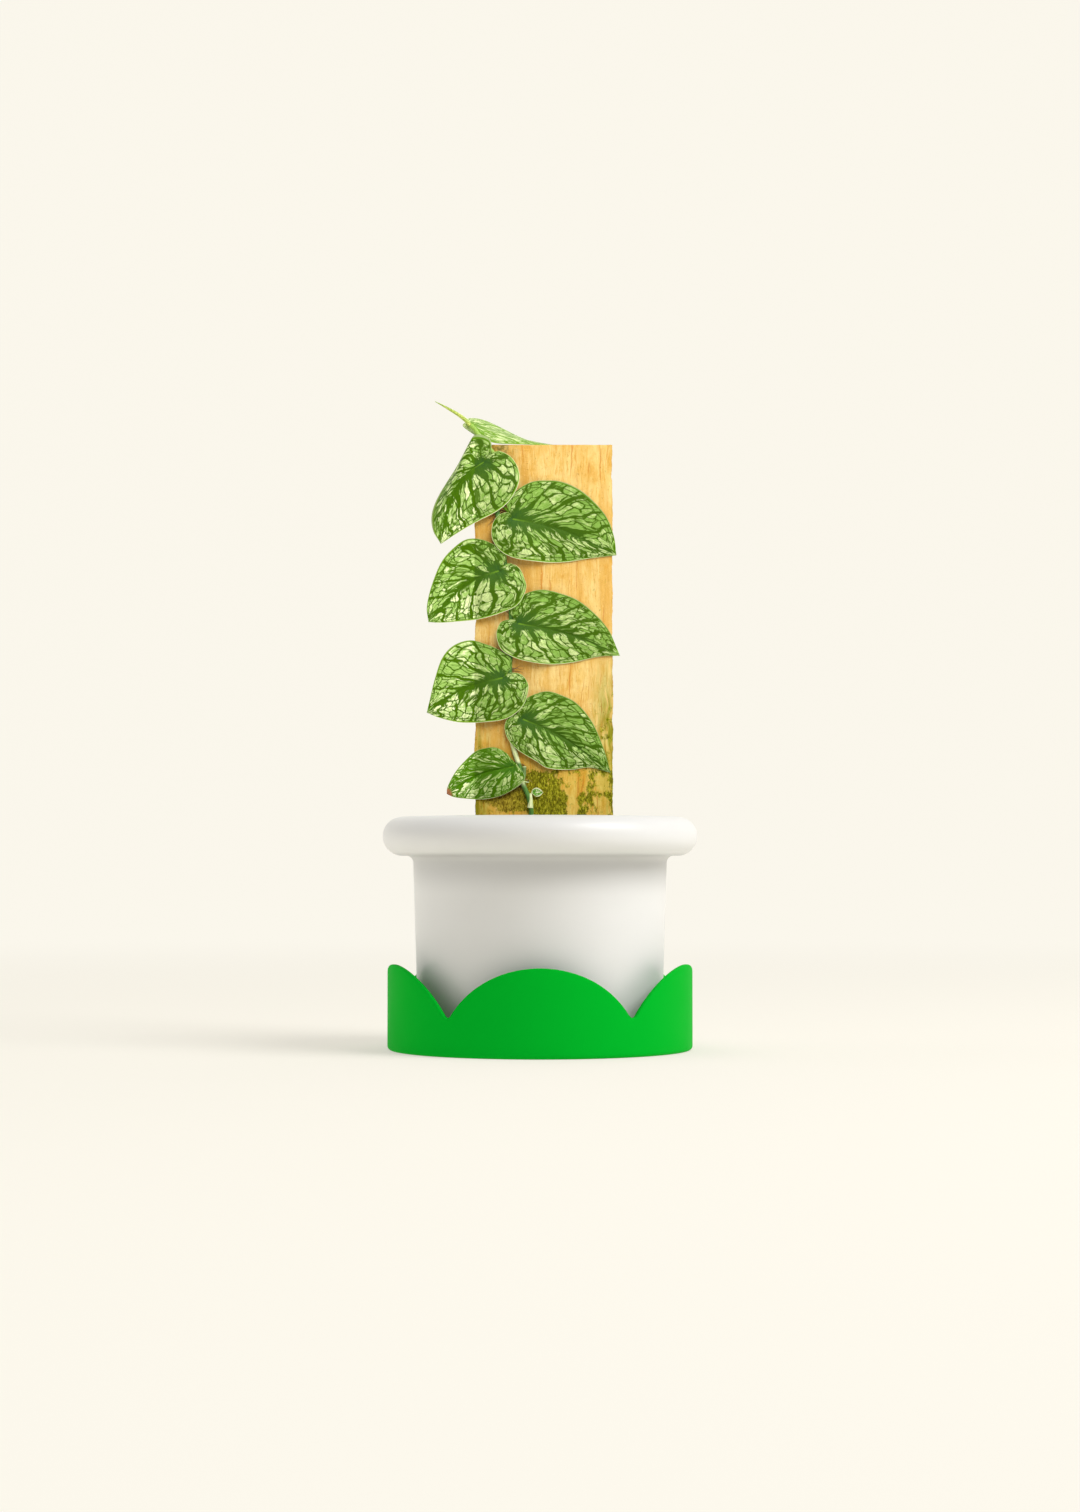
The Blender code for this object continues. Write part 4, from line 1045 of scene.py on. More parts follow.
def leaf_back_finish(look):
    """The underside of a leaf: plain, paler and duller, with its veins standing out."""
    made, tree, shader = new_look("leaf underside")
    mapped = blade_map(tree)
    marks = blade_marks(tree, mapped, value_of(tree, "number"), look.veins, 1.0)
    pale = [0.55 * first + 0.30 * second for first, second in zip(look.silver, look.dark)]
    vein = tinted(pale, (1.25,) * 3)
    colour = blend(tree, ease(tree, marks["Height"], 0.1, 0.9), vein, pale)
    colour = blend(tree, ease(tree, marks["Tone"], 0.0, 0.8, 0.0, 0.3), colour, look.rim)
    dry = value_of(tree, "dry")
    colour = blend(tree, dry, colour, (0.42, 0.20, 0.10))
    low = minus(tree, 1.0, marks["Height"])
    dress(tree, shader, Base_Color=colour, Roughness=ease(tree, marks["Tone"], 0.0, 0.8, 0.58, 0.66),
          Specular_IOR_Level=0.3, Normal=bump(tree, low, 0.0003))
    return made


def tiny_leaf_finish(look):
    """The smallest leaf: fresh green with a few pale flecks and a broad pale margin."""
    made, tree, shader = new_look("tiny leaf")
    mapped = blade_map(tree)
    across = absolute(tree, unpacked(tree, mapped)[1])
    flecks = mottle(tree, place_mm(tree), 1.0, 2.0)
    green = blend(tree, ease(tree, flecks, 0.35, 0.50), tinted(look.rim, (0.5, 0.6, 0.9)),
                  tinted(look.rim, (0.9, 1.1, 2.0)))
    colour = blend(tree, ease(tree, flecks, 0.54, 0.60), green, look.edge)
    colour = blend(tree, ease(tree, across, 0.70, 0.84), colour, look.edge)
    dress(tree, shader, Base_Color=colour, Roughness=ease(tree, flecks, 0.3, 0.7, 0.46, 0.56),
          Specular_IOR_Level=0.2, Normal=bump(tree, flecks, 0.00008))
    return made


def young_finish(look):
    """The youngest leaf: milky streaks and marks over fresh green."""
    made, tree, shader = new_look("young leaf")
    mapped = blade_map(tree)
    marks = blade_marks(tree, mapped, 8.0, 7.0, 0.95)
    u, v, _ = unpacked(tree, mapped)
    streak = noise_over(tree, u, 20.0, v, 4.5, 0.0, 4.0, 0.6)
    milky = times(tree, ease(tree, streak, 0.38, 0.54, 0.35, 1.0), marks["Marks"])
    milky = most(tree, milky, times(tree, ease(tree, u, 0.34, 0.04), ease(tree, streak, 0.3, 0.5)))
    green = blend(tree, ease(tree, streak, 0.35, 0.65), look.fresh, tinted(look.fresh, (1.5, 1.25, 2.0)))
    colour = blend(tree, milky, green, look.pale)
    colour = blend(tree, most(tree, marks["Rim"], marks["Midrib"]), colour,
                   tinted(look.fresh, (1.8, 1.45, 2.0)))
    dress(tree, shader, Base_Color=colour, Roughness=ease(tree, streak, 0.3, 0.7, 0.42, 0.52),
          Specular_IOR_Level=0.15, Normal=bump(tree, marks["Height"], 0.00012))
    return made


def stem_finish(look):
    """A smooth stem, pale where its sheaths and bracts are."""
    made, tree, shader = new_look("green stem")
    spot = place_mm(tree)
    pale = value_of(tree, "pale")
    line = grained(tree, spot, (0.45, 0.45, 7.0), 3.0)
    green = blend(tree, ease(tree, line, 0.35, 0.7), look.stem, tinted(look.stem, (2.0, 1.7, 1.6)))
    cream = blend(tree, ease(tree, line, 0.45, 0.7), look.sheath,
                  tinted(look.sheath, (0.62, 0.78, 0.45)))
    colour = blend(tree, pale, green, cream)
    young = blend(tree, ease(tree, line, 0.35, 0.7), look.young, tinted(look.young, (1.5, 1.3, 1.8)))
    colour = blend(tree, ease(tree, unpacked(tree, spot)[2], 370.0, 386.0), colour, young)
    dress(tree, shader, Base_Color=colour, Roughness=ease(tree, line, 0.3, 0.7, 0.40, 0.52),
          Specular_IOR_Level=0.3, Normal=bump(tree, line, 0.00012))
    return made


def root_finish(look):
    made, tree, shader = new_look("clinging root")
    spot = place_mm(tree)
    grain = mottle(tree, spot, 0.8, 4.0)
    colour = blend(tree, ease(tree, grain, 0.35, 0.65), look.root, tinted(look.root, (0.45,) * 3))
    dress(tree, shader, Base_Color=colour, Roughness=ease(tree, grain, 0.2, 0.8, 0.7, 0.9),
          Normal=bump(tree, mottle(tree, spot, 3.0), 0.0001))
    return made


def spear_finish(look):
    """A leaf still rolled up: fine lines wind along it and it pales to its point."""
    made, tree, shader = new_look("rolled leaf")
    spot = place_mm(tree)
    x, y, z = unpacked(tree, spot)
    slant = times_plus(tree, x, 0.66, z)
    seam = mottle(tree, packed(tree, times(tree, slant, 1.3), times(tree, y, 0.8),
                               times(tree, x, 0.12)), 1.0, 3.0)
    colour = blend(tree, ease(tree, seam, 0.40, 0.62), look.spear, tinted(look.spear, (1.7, 1.4, 2.2)))
    colour = blend(tree, ease(tree, x, -58.0, -68.0, 0.0, 0.5), colour, look.fresh)
    dress(tree, shader, Base_Color=colour, Roughness=ease(tree, seam, 0.3, 0.7, 0.40, 0.50),
          Specular_IOR_Level=0.3, Normal=bump(tree, seam, 0.0002))
    return made


# Pot and saucer

def scallop_height(distance):
    """Height of the saucer's edge at a distance along the wall from a crown."""
    half = math.pi * SAUCER_RADIUS / SCALLOPS
    centre = SCALLOP_CROWN - SCALLOP_RADIUS
    reach = SCALLOP_RADIUS + NOTCH_RADIUS
    notch_centre = centre + math.sqrt(reach ** 2 - half ** 2)
    if distance > half * SCALLOP_RADIUS / reach:
        return notch_centre - math.sqrt(NOTCH_RADIUS ** 2 - (half - distance) ** 2)
    return centre + math.sqrt(SCALLOP_RADIUS ** 2 - distance ** 2)


def arc(centre_r, centre_z, radius, start, end, steps):
    """Points of an arc in a profile, with its angles in degrees."""
    angles = np.radians(np.linspace(start, end, steps + 1))
    return [(centre_r + radius * math.cos(a), centre_z + radius * math.sin(a)) for a in angles]


def build_saucer(look):
    """The dish, from the middle of its underside, round its scalloped wall, to its floor."""
    half = math.pi * SAUCER_RADIUS / SCALLOPS
    steps = 44
    angles, heights = [], []
    for scallop in range(SCALLOPS):
        middle = -math.pi / 2 + 2 * math.pi * scallop / SCALLOPS
        for step in range(-steps, steps):
            distance = half * math.sin(math.pi / 2 * step / steps)
            angles.append(middle + distance / SAUCER_RADIUS)
            heights.append(scallop_height(abs(distance)))
    angles, heights = np.array(angles), np.array(heights)
    outer, inner, edge = SAUCER_RADIUS, SAUCER_RADIUS - SAUCER_WALL, look.edge
    fillet = 3.0
    under = [(radius, 0.0) for radius in (24.0, 60.0, 88.0)]
    under += arc(outer - SAUCER_CORNER, SAUCER_CORNER, SAUCER_CORNER, -90, 0, 6)
    over = arc(inner - fillet, SAUCER_FLOOR + fillet, fillet, 0, -90, 6)
    over += [(radius, SAUCER_FLOOR) for radius in (80.0, 50.0, 20.0)]
    lip = arc(outer - edge, -edge, edge, 0, 90, 5) + arc(inner + edge, -edge, edge, 90, 180, 5)
    top = heights - edge
    shares = np.linspace(0.0, 1.0, 9)[1:-1]
    rings = [(radius, np.full_like(heights, height)) for radius, height in under]
    rings += [(outer, SAUCER_CORNER + share * (top - SAUCER_CORNER)) for share in shares]
    rings += [(radius, heights + drop) for radius, drop in lip]
    rings += [(inner, top + share * (SAUCER_FLOOR + fillet - top)) for share in shares]
    rings += [(radius, np.full_like(heights, height)) for radius, height in over]
    points = [np.column_stack([radius * np.cos(angles), radius * np.sin(angles), height])
              for radius, height in rings]
    faces = capped_faces(len(rings), len(angles))
    points = np.vstack(points + [[(0.0, 0.0, 0.0), (0.0, 0.0, SAUCER_FLOOR)]])
    piece = make_piece("saucer_glazed", points, faces, [saucer_glaze(look)], sharp=50.0)
    settle(piece, "saucer", "saucer")


def build_pot(look):
    """The pot, turned from one closed profile: outside, roll, inside and drain hole."""
    foot = POT_FOOT
    rim_base = POT_TOP - 2 * RIM_ROLL
    rim_centre = POT_TOP - RIM_ROLL
    roll = RIM_RADIUS - RIM_ROLL
    floor = foot + POT_FLOOR
    ring = POT_FOOT_RADIUS - POT_FOOT_RING
    profile = [(DRAIN_RADIUS, foot + POT_FOOT_RECESS)]
    profile += [(radius, foot + POT_FOOT_RECESS) for radius in (30.0, ring - 2.0 * POT_FOOT_RECESS)]
    profile += arc(ring - POT_FOOT_RECESS, foot + POT_FOOT_RECESS - 1.0, 1.0, 90, 30, 3)
    profile += [(ring, foot + 0.3), (ring + 0.4, foot), (POT_FOOT_RADIUS, foot)]
    profile += arc(POT_FOOT_RADIUS + 0.2, foot + 3.0, 3.0, -75, -8, 7)
    for share in np.linspace(0.0, 1.0, 24):
        profile.append((POT_LOW_RADIUS + share * (POT_HIGH_RADIUS - POT_LOW_RADIUS),
                        foot + POT_COVE + share * (rim_base - POT_COVE - foot - POT_COVE)))
    cove = arc(POT_HIGH_RADIUS + POT_COVE, rim_base - POT_COVE, POT_COVE, 180, 90, 8)
    profile += cove[1:]
    profile += arc(roll, rim_centre, RIM_ROLL, -90, 90, 36)[(1 if cove[-1][0] > roll else 0):]
    for step in range(1, 13):
        angle = math.pi / 2 * step / 12
        profile.append((roll - (roll - POT_INNER_HIGH) * math.sin(angle),
                        POT_TOP - RIM_SHOULDER * (1 - math.cos(angle))))
    for share in np.linspace(0.0, 1.0, 14)[1:]:
        profile.append((POT_INNER_HIGH + share * (POT_INNER_LOW - POT_INNER_HIGH),
                        POT_TOP - RIM_SHOULDER + share * (floor + POT_CORNER - POT_TOP + RIM_SHOULDER)))
    profile += arc(POT_INNER_LOW - POT_CORNER, floor + POT_CORNER, POT_CORNER, 0, -90, 6)[1:]
    profile += [(40.0, floor), (DRAIN_RADIUS + 0.6, floor), (DRAIN_RADIUS, floor - 0.6)]
    turns = full_turn(look.segments)
    points = np.vstack([np.column_stack([radius * np.cos(turns), radius * np.sin(turns),
                                         np.full(look.segments, height)]) for radius, height in profile])
    faces = ring_faces(len(profile), look.segments, closed=True)
    piece = make_piece("pot_glazed", points, faces, [pot_glaze(look)], sharp=50.0)
    settle(piece, "pot", "pot")


# Potting mix

def soil_height(spots):
    """The heaped surface of the mix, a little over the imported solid's."""
    lumps = SOIL_TOP + SOIL_LUMPS * swirl(spots, SOIL_LUMP_WIDTH)
    crumbs = 0.8 * swirl(spots, 5.0, 3.0) + 0.5 * swirl(spots, 2.1, 7.0)
    rim = np.linalg.norm(spots[:, :2], axis=1) / SOIL_RADIUS
    return lumps + 1.1 + crumbs - 1.5 * smoothstep(rim, 0.93, 1.0)


def scatter_tree(name, material):
    """Geometry nodes that strew rough grains over a surface, each a different shape."""
    tree, given = new_grower(name, Density="Float", Smallest="Vector", Largest="Vector",
                             Roughness="Float", Lift="Float", Seed="Int")
    spread = strewn_points(tree, given)
    grain = named(tree, "GeometryNodeMeshIcoSphere", {"Radius": 0.5, "Subdivisions": 2})
    size = drawn_value(tree, given, given["Smallest"], given["Largest"])
    turn = drawn_value(tree, given, (-GRAIN_LEAN, -GRAIN_LEAN, 0.0), (GRAIN_LEAN, GRAIN_LEAN, 2 * math.pi))
    lifted = named(tree, "GeometryNodeSetPosition",
                   {"Geometry": spread.outputs["Points"], "Offset": packed(tree, 0.0, 0.0, given["Lift"])})
    strewn = named(tree, "GeometryNodeInstanceOnPoints",
                   {"Points": lifted.outputs[0], "Instance": grain.outputs["Mesh"],
                    "Rotation": turn.outputs["Value"], "Scale": size.outputs["Value"]})
    real = add(tree, "GeometryNodeRealizeInstances", strewn.outputs[0])
    where = add(tree, "GeometryNodeInputPosition").outputs[0]
    wobble = named(tree, "ShaderNodeTexNoise", {"Vector": where, "Scale": GRAIN_DETAIL, "Detail": 1.0})
    centred = add(tree, "ShaderNodeVectorMath", wobble.outputs["Color"], (0.5,) * 3, operation="SUBTRACT")
    moved = add(tree, "ShaderNodeVectorMath", centred.outputs[0], operation="SCALE")
    fill(tree, moved.inputs["Scale"], given["Roughness"])
    rough = named(tree, "GeometryNodeSetPosition", {"Geometry": real.outputs[0], "Offset": moved.outputs[0]})
    return end_grower(tree, rough.outputs[0], material)


def grow(name, carrier, tree, **values):
    """Run geometry nodes on a carrier, and return their result as a plain mesh object."""
    modifier = carrier.modifiers.new(name, "NODES")
    modifier.node_group = tree
    for item in tree.interface.items_tree:
        key = item.name.replace(" ", "_")
        if item.in_out == "INPUT" and key in values:
            modifier[item.identifier] = values[key]
    bpy.context.view_layer.update()
    evaluated = carrier.evaluated_get(bpy.context.evaluated_depsgraph_get())
    mesh = bpy.data.meshes.new_from_object(evaluated)
    mesh.name = name
    carrier.modifiers.remove(modifier)
    if not mesh.polygons:
        raise RuntimeError(f"{name} came out empty")
    return new_object(name, mesh)


def build_soil(look):
    """The rough surface of the mix, with crumbs, bark chips and white grains strewn on it."""
    rings, turns = 84, 220
    radii = SOIL_RADIUS * np.sqrt(np.linspace(1.0, 0.0004, rings))
    angles = full_turn(turns)
    spots = np.vstack([np.column_stack([r * np.cos(angles), r * np.sin(angles)]) for r in radii])
    heights = soil_height(spots)
    top = np.column_stack([spots, heights])
    bottom = SOIL_TOP - SOIL_SKIN
    bottom_ring = np.column_stack([spots[:turns], np.full(turns, bottom)])
    points = np.vstack([bottom_ring, top, [(0.0, 0.0, bottom)], [(0.0, 0.0, heights[-1])]])
    faces = capped_faces(rings + 1, turns)
    mix = crumb_finish("moist potting mix", look.mix, 0.45, 3.2)
    bark = crumb_finish("bark chip", look.bark, 0.40, 2.4)
    grit = crumb_finish("white mineral grain", look.grit, 0.75, 1.2)
    surface = make_piece("soil_surface", points, faces, [mix])
    settle(surface, "soil")
    frame["nodes"]["soil"].data.materials[0] = mix

    carrier = make_piece("soil_carrier", top, ring_faces(rings, turns), [mix])
    inside = ((spots[:, 0] > BOARD_LEFT - SOIL_CLEAR) & (spots[:, 0] < BOARD_RIGHT + SOIL_CLEAR)
              & (spots[:, 1] > BOARD_FRONT - 4.5) & (spots[:, 1] < BOARD_BACK + SOIL_CLEAR))
    past = np.linalg.norm(spots, axis=1) > SOIL_RADIUS - 3.0
    add_value(carrier, "cover", np.where(inside | past, 0.0, 1.0))
    strewn = ((mix, look.crumbs), (bark, look.chips), (grit, look.grains))
    for (name, small, large, flat, rough, lift, seed), (material, density) in zip(GRAINS, strewn):
        piece = grow(name, carrier, scatter_tree(name, material), Density=density,
                     Smallest=(small * MM, small * MM, small * flat * MM),
                     Largest=(large * MM, large * MM, large * flat * MM),
                     Roughness=rough * MM, Lift=lift * MM, Seed=seed)
        settle(piece, "soil")
    bpy.data.objects.remove(carrier)


# Board

def ragged(heights, seed):
    """How far the board's rough edge stands out at each height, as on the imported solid."""
    wave = np.array([noise.noise(Vector((z / BOARD_WAVE, seed, 0.5))) for z in heights])
    ripple = np.array([noise.noise(Vector((z / BOARD_RIPPLE, seed, 3.5))) for z in heights])
    return BOARD_RAGGED * (wave + 0.5 * ripple) * smoothstep(heights, SOIL_TOP, SOIL_TOP + BOARD_TRUE_END)


def build_board(look):
    """The board, with sawn grooves down its faces and splintered edges."""
    heights = np.concatenate([np.linspace(BOARD_BOTTOM, SOIL_TOP - 4.0, 12)[:-1],
                              np.linspace(SOIL_TOP - 4.0, BOARD_TOP, 232)])
    across = np.linspace(0.0, 1.0, 91)[:-1]
    through = np.linspace(0.0, 1.0, 17)[:-1]
    share_x = np.concatenate([across, np.ones(16), 1.0 - across[::3], np.zeros(16)])
    share_y = np.concatenate([np.zeros(90), through, np.ones(30), 1.0 - through])
    left = BOARD_LEFT - ragged(heights, 1.0)
    right = BOARD_RIGHT + ragged(heights, 5.0)
    columns = len(share_x)
    x = left[:, None] + (right - left)[:, None] * share_x
    y = np.broadcast_to(BOARD_FRONT + (BOARD_BACK - BOARD_FRONT) * share_y, x.shape).copy()
    z = np.broadcast_to(heights[:, None], x.shape).copy()
    spots = np.column_stack([x.ravel(), y.ravel(), z.ravel()])
    stretch = spots / np.array([1.0, 1.0, 30.0])
    groove = swirl(stretch, 1.1, 2.0) + 0.6 * swirl(spots / np.array([1.0, 1.0, 9.0]), 0.55, 9.0)
    groove = (groove * look.relief).reshape(x.shape)
    chip = (0.45 * swirl(spots / np.array([1.0, 1.0, 2.2]), 1.3, 4.0)
            + 0.30 * swirl(spots / np.array([1.0, 1.0, 3.0]), 0.6, 5.0)).reshape(x.shape)
    above = smoothstep(z, SOIL_TOP + 4.0, SOIL_TOP + BOARD_TRUE_END)
    on_side = ((share_x == 0.0) | (share_x == 1.0))[None, :]
    outward = np.where(share_x < 0.5, -1.0, 1.0)[None, :]
    x += np.where(on_side, outward * above * (groove + 0.8 * chip - 0.15), 0.0)
    facing = np.where(share_y == 0.0, -1.0, np.where(share_y == 1.0, 1.0, 0.0))[None, :]
    corner = np.exp(-((share_x * (1 - share_x)) / 0.012) ** 2)[None, :]
    y += facing * above * (groove - 0.05 - corner * np.abs(chip))
    top_row = len(heights) - 1
    z[top_row] += 0.25 * swirl(spots[-columns:], 1.5, 6.0)
    points = np.column_stack([x.ravel(), y.ravel(), z.ravel()])
    faces = ring_faces(len(heights), columns)
    faces.append(tuple(range(columns))[::-1])
    faces.append(tuple(range(top_row * columns, (top_row + 1) * columns)))
    piece = make_piece("board_sawn", points, faces, [wood_finish(look)], sharp=45.0)
    settle(piece, "board", "board")
    build_moss(look)


def build_moss(look):
    """Short moss leaflets that stand out of the algae on the board's foot."""
    columns, rows = 88, 70
    x = np.linspace(BOARD_LEFT + 1.0, BOARD_RIGHT - 1.0, columns)
    z = np.linspace(SOIL_TOP + 2.0, MOSS_HIGHEST, rows)
    grid_x, grid_z = np.meshgrid(x, z)
    flat = np.column_stack([grid_x.ravel(), grid_z.ravel()])
    points = np.column_stack([flat[:, 0], np.full(len(flat), BOARD_FRONT), flat[:, 1]])
    faces = [(row * columns + i, row * columns + i + 1, (row + 1) * columns + i + 1, (row + 1) * columns + i)
             for row in range(rows - 1) for i in range(columns - 1)]
    cover = smoothstep(flat[:, 1], 184.0, 160.0) * smoothstep(swirl(flat, 9.0, 4.0), -0.25, 0.35)
    for (centre_x, centre_z), (half_x, half_z) in BARE_PATCHES:
        reach = ((flat[:, 0] - centre_x) / half_x) ** 2 + ((flat[:, 1] - centre_z) / half_z) ** 2
        cover *= smoothstep(reach, 0.8, 1.8)
    moss = moss_finish(look)
    carrier = make_piece("moss_carrier", points, faces, [moss])
    add_value(carrier, "cover", cover)
    piece = grow("moss_tufts", carrier, tuft_tree("moss tufts", moss), Density=look.tufts,
                 Length=TUFT_LENGTH * MM, Width=TUFT_WIDTH * MM, Seed=5)
    bpy.data.objects.remove(carrier)
    settle(piece, "board")


def tuft_tree(name, material):
    """Geometry nodes that stand short pointed leaflets all over a surface."""
    tree, given = new_grower(name, Density="Float", Length="Float", Width="Float", Seed="Int")
    spread = strewn_points(tree, given)
    leaflet = named(tree, "GeometryNodeMeshCone",
                    {"Vertices": 3, "Radius Top": 0.0, "Radius Bottom": given["Width"],
                     "Depth": given["Length"]})
    size = drawn_value(tree, given, SMALLEST_TUFT, 1.0, "FLOAT")
    lean = drawn_value(tree, given, (-TUFT_LEAN, -TUFT_LEAN, 0.0), (TUFT_LEAN, TUFT_LEAN, 2 * math.pi))
    stood = named(tree, "GeometryNodeInstanceOnPoints",
                  {"Points": spread.outputs["Points"], "Instance": leaflet.outputs["Mesh"],
                   "Rotation": spread.outputs["Rotation"], "Scale": size.outputs[1]})
    tilted = named(tree, "GeometryNodeRotateInstances",
                   {"Instances": stood.outputs[0], "Rotation": lean.outputs["Value"]})
    real = add(tree, "GeometryNodeRealizeInstances", tilted.outputs[0])
    return end_grower(tree, real.outputs[0], material)


# Vine

def on_board(x, height, off):
    """Points in front of the board, at a distance off its face."""
    x, height, off = np.broadcast_arrays(np.asarray(x, float), height, off)
    return np.stack([x, BOARD_FRONT - off, height], axis=-1)


def stem_radius(height):
    """The stem swells a little at each node and where its sheath wraps it."""
    (low, high), extra = SHEATH
    rise = smoothstep((height - low) / SHEATH_FADE + 1.0)
    fall = smoothstep((high - height) / SHEATH_FADE + 1.0)
    radius = STEM_RADIUS + extra * rise * fall
    for node in STEM_NODES:
        radius = radius + NODE_SWELL * np.exp(-((height - node) / NODE_LENGTH) ** 2)
    return np.minimum(radius, STEM_RADIUS + extra)


def stem_curve():
    """The stem's middle line, from the soil to the growing point."""
    route = [on_board(x, z, GAP + stem_radius(z)) for x, z in STEM_ROUTE]
    foot = route[0].copy()
    foot[2] = STEM_IN_SOIL
    return spline(np.vstack([[foot], route, STEM_TOP]))


STEM_LINE = spline(STEM_ROUTE, steps=6)
STEM_SPOTS = np.vstack([STEM_LINE, np.array(STEM_TOP)[:, [0, 2]]])


def build_vine(look):
    """The stem with its ringed nodes, and the bract, the cut stalk and the rootlet on it."""
    line = along(stem_curve(), np.linspace(0.0, 1.0, STEM_STEPS))
    radii = stem_radius(line[:, 2])
    for node in STEM_NODES:
        radii = radii - 0.10 * np.exp(-((line[:, 2] - node - 1.2) / 0.35) ** 2)
    rib = 0.03 * np.sin(line[:, 2] * 0.9)
    points, faces = tube(line, radii + rib, sides=20)
    pale = 0.9 * smoothstep(points[:, 2], 183.0, 185.0) * smoothstep(points[:, 2], 203.0, 197.0)
    pale = np.maximum(pale, 0.75 * np.exp(-((points[:, 2] - 172.5) / 2.6) ** 2))
    bract = on_board(*spline(BRACT).T, GAP + BRACT_RADII[0])
    stub = on_board(*spline(STUB).T, GAP + STUB_RADIUS)
    rootlet = on_board(*spline(ROOTLET).T, GAP + 2 * ROOTLET_RADII[0])
    stub_radii = (STUB_RADIUS, STUB_RADIUS, 1.1, 1.35)
    for path, sizes, paleness in ((bract, BRACT_RADII, 0.95), (stub, stub_radii, 0.15),
                                  (rootlet, ROOTLET_RADII, 0.6)):
        shares = np.linspace(0.0, 1.0, 25)
        radius = np.interp(shares, np.linspace(0.0, 1.0, len(sizes)), sizes)
        more, more_faces = tube(along(path, shares), radius, sides=16, start=len(points))
        tone = np.full(len(more), paleness)
        if path is stub:
            tone = np.maximum(tone, 0.9 * smoothstep(more[:, 2], 180.6, 181.6))
        points = np.vstack([points, more])
        faces += more_faces
        pale = np.concatenate([pale, tone])
    piece = make_piece("vine_stem", points, faces, [stem_finish(look)], sharp=60.0)
    add_value(piece, "pale", pale)
    settle(piece, "vine", "vine")
    build_roots(look)


def root_tree(name, material):
    """Geometry nodes that turn drawn lines into tapered roots."""
    tree, given = new_grower(name, Thickness="Float")
    line = add(tree, "GeometryNodeMeshToCurve", given["Geometry"])
    share = add(tree, "GeometryNodeSplineParameter").outputs["Factor"]
    taper = times(tree, given["Thickness"], minus(tree, 1.05, share))
    sized = named(tree, "GeometryNodeSetCurveRadius", {"Curve": line.outputs[0], "Radius": taper})
    round_line = named(tree, "GeometryNodeCurvePrimitiveCircle", {"Resolution": 6, "Radius": 1.0})
    skin = named(tree, "GeometryNodeCurveToMesh",
                 {"Curve": sized.outputs[0], "Profile Curve": round_line.outputs[0], "Fill Caps": True})
    if "Scale" in skin.inputs:
        fill(tree, skin.inputs["Scale"], taper)
    real = add(tree, "GeometryNodeRealizeInstances", skin.outputs[0])
    return end_grower(tree, real.outputs[0], material)


def build_roots(look):
    """Clinging roots that spread over the wood from under each node."""
    points, edges = [], []
    draw = np.random.default_rng(ROOT_SEED)
    for node in STEM_NODES[1:]:
        middle = STEM_LINE[np.argmin(np.abs(STEM_LINE[:, 1] - node))]
        for _ in range(look.roots_each):
            heading = draw.choice([-1.0, 1.0]) * math.radians(draw.uniform(*ROOT_ANGLES))
            length = draw.uniform(*ROOT_LENGTHS)
            start = middle + np.array([0.0, draw.uniform(-2.5, 2.5)])
            spot = start.copy()
            for step in range(ROOT_STEPS):
                if step:
                    edges.append((len(points) - 1, len(points)))
                lift = 0.9 * (1.0 - step / ROOT_STEPS) ** 3 + 0.30
                points.append((spot[0], BOARD_FRONT - lift, spot[1]))
                heading += draw.normal(0.0, 0.22)
                spot = spot + length / ROOT_STEPS * np.array([math.sin(heading), -math.cos(heading)])
                spot[0] = max(BOARD_LEFT + 1.0, spot[0])
    mesh = bpy.data.meshes.new("root_lines")
    mesh.from_pydata((np.array(points) * MM).tolist(), edges, [])
    carrier = new_object("root_lines", mesh)
    roots = root_tree("clinging roots", root_finish(look))
    piece = grow("vine_roots", carrier, roots, Thickness=ROOT_THICKNESS * MM)
    bpy.data.objects.remove(carrier)
    settle(piece, "vine")


# Leaves

def leaf_curves(leaf):
    """A leaf's midrib and its two margins, as curves on the board."""
    attach = np.array(leaf["attach"])
    tip = attach + leaf["tip"]
    notch = attach + leaf["notch"]
    midrib = spline(np.vstack([[attach], attach + leaf["midrib"], [tip]]))
    sides = [spline(np.vstack([[notch], attach + leaf[side], [tip]])) for side in ("upper", "lower")]
    return midrib, sides


def blade_height(spots, tuck):
    """How far the middle of a pressed blade lies off the board at each spot."""
    away = np.min(np.linalg.norm(spots[:, None, :] - STEM_SPOTS[None, :, :], axis=2), axis=1)
    nearness = 1.0 - smoothstep(away, STEM_FLAT, STEM_FADE)
    lift = 0.0
    if tuck:
        high, low = tuck
        lift = BLADE_TUCK * smoothstep((high - spots[:, 1]) / (high - low))
    outside = np.clip((BOARD_LEFT - 2.0 - spots[:, 0]) / OVERHANG_REACH, 0.0, 1.2)
    return BLADE_REST + nearness * (BLADE_OVER_STEM + lift) - OVERHANG_DROOP * outside ** 1.5


def fold_back(spots, leaf, off):
    """Bend the part of the first leaf past its fold line round behind it."""
    start = np.array(leaf["attach"]) + FOLD_FROM
    line = np.array(FOLD_TO) - FOLD_FROM
    line = line / np.linalg.norm(line)
    outward = np.array([line[1], -line[0]])
    run = (spots - start) @ line
    past = (spots - start) @ outward
    ease_out = smoothstep(run, *FOLD_EASE)
    limit = FOLD_ANGLE + (FOLD_TIP_ANGLE - FOLD_ANGLE) * ease_out
    angle = np.minimum(np.maximum(past, 0.0) / FOLD_RADIUS, limit)
    rest = past - FOLD_RADIUS * angle
    across = FOLD_RADIUS * np.sin(angle) + rest * np.cos(angle)
    back = FOLD_RADIUS * (1 - np.cos(angle)) + rest * np.sin(angle)
    bent = start + np.outer(run, line) + np.outer(across, outward)
    folded = past > 0.0
    spots = np.where(folded[:, None], bent, spots)
    return on_board(spots[:, 0], spots[:, 1], off - np.where(folded, back, 0.0))


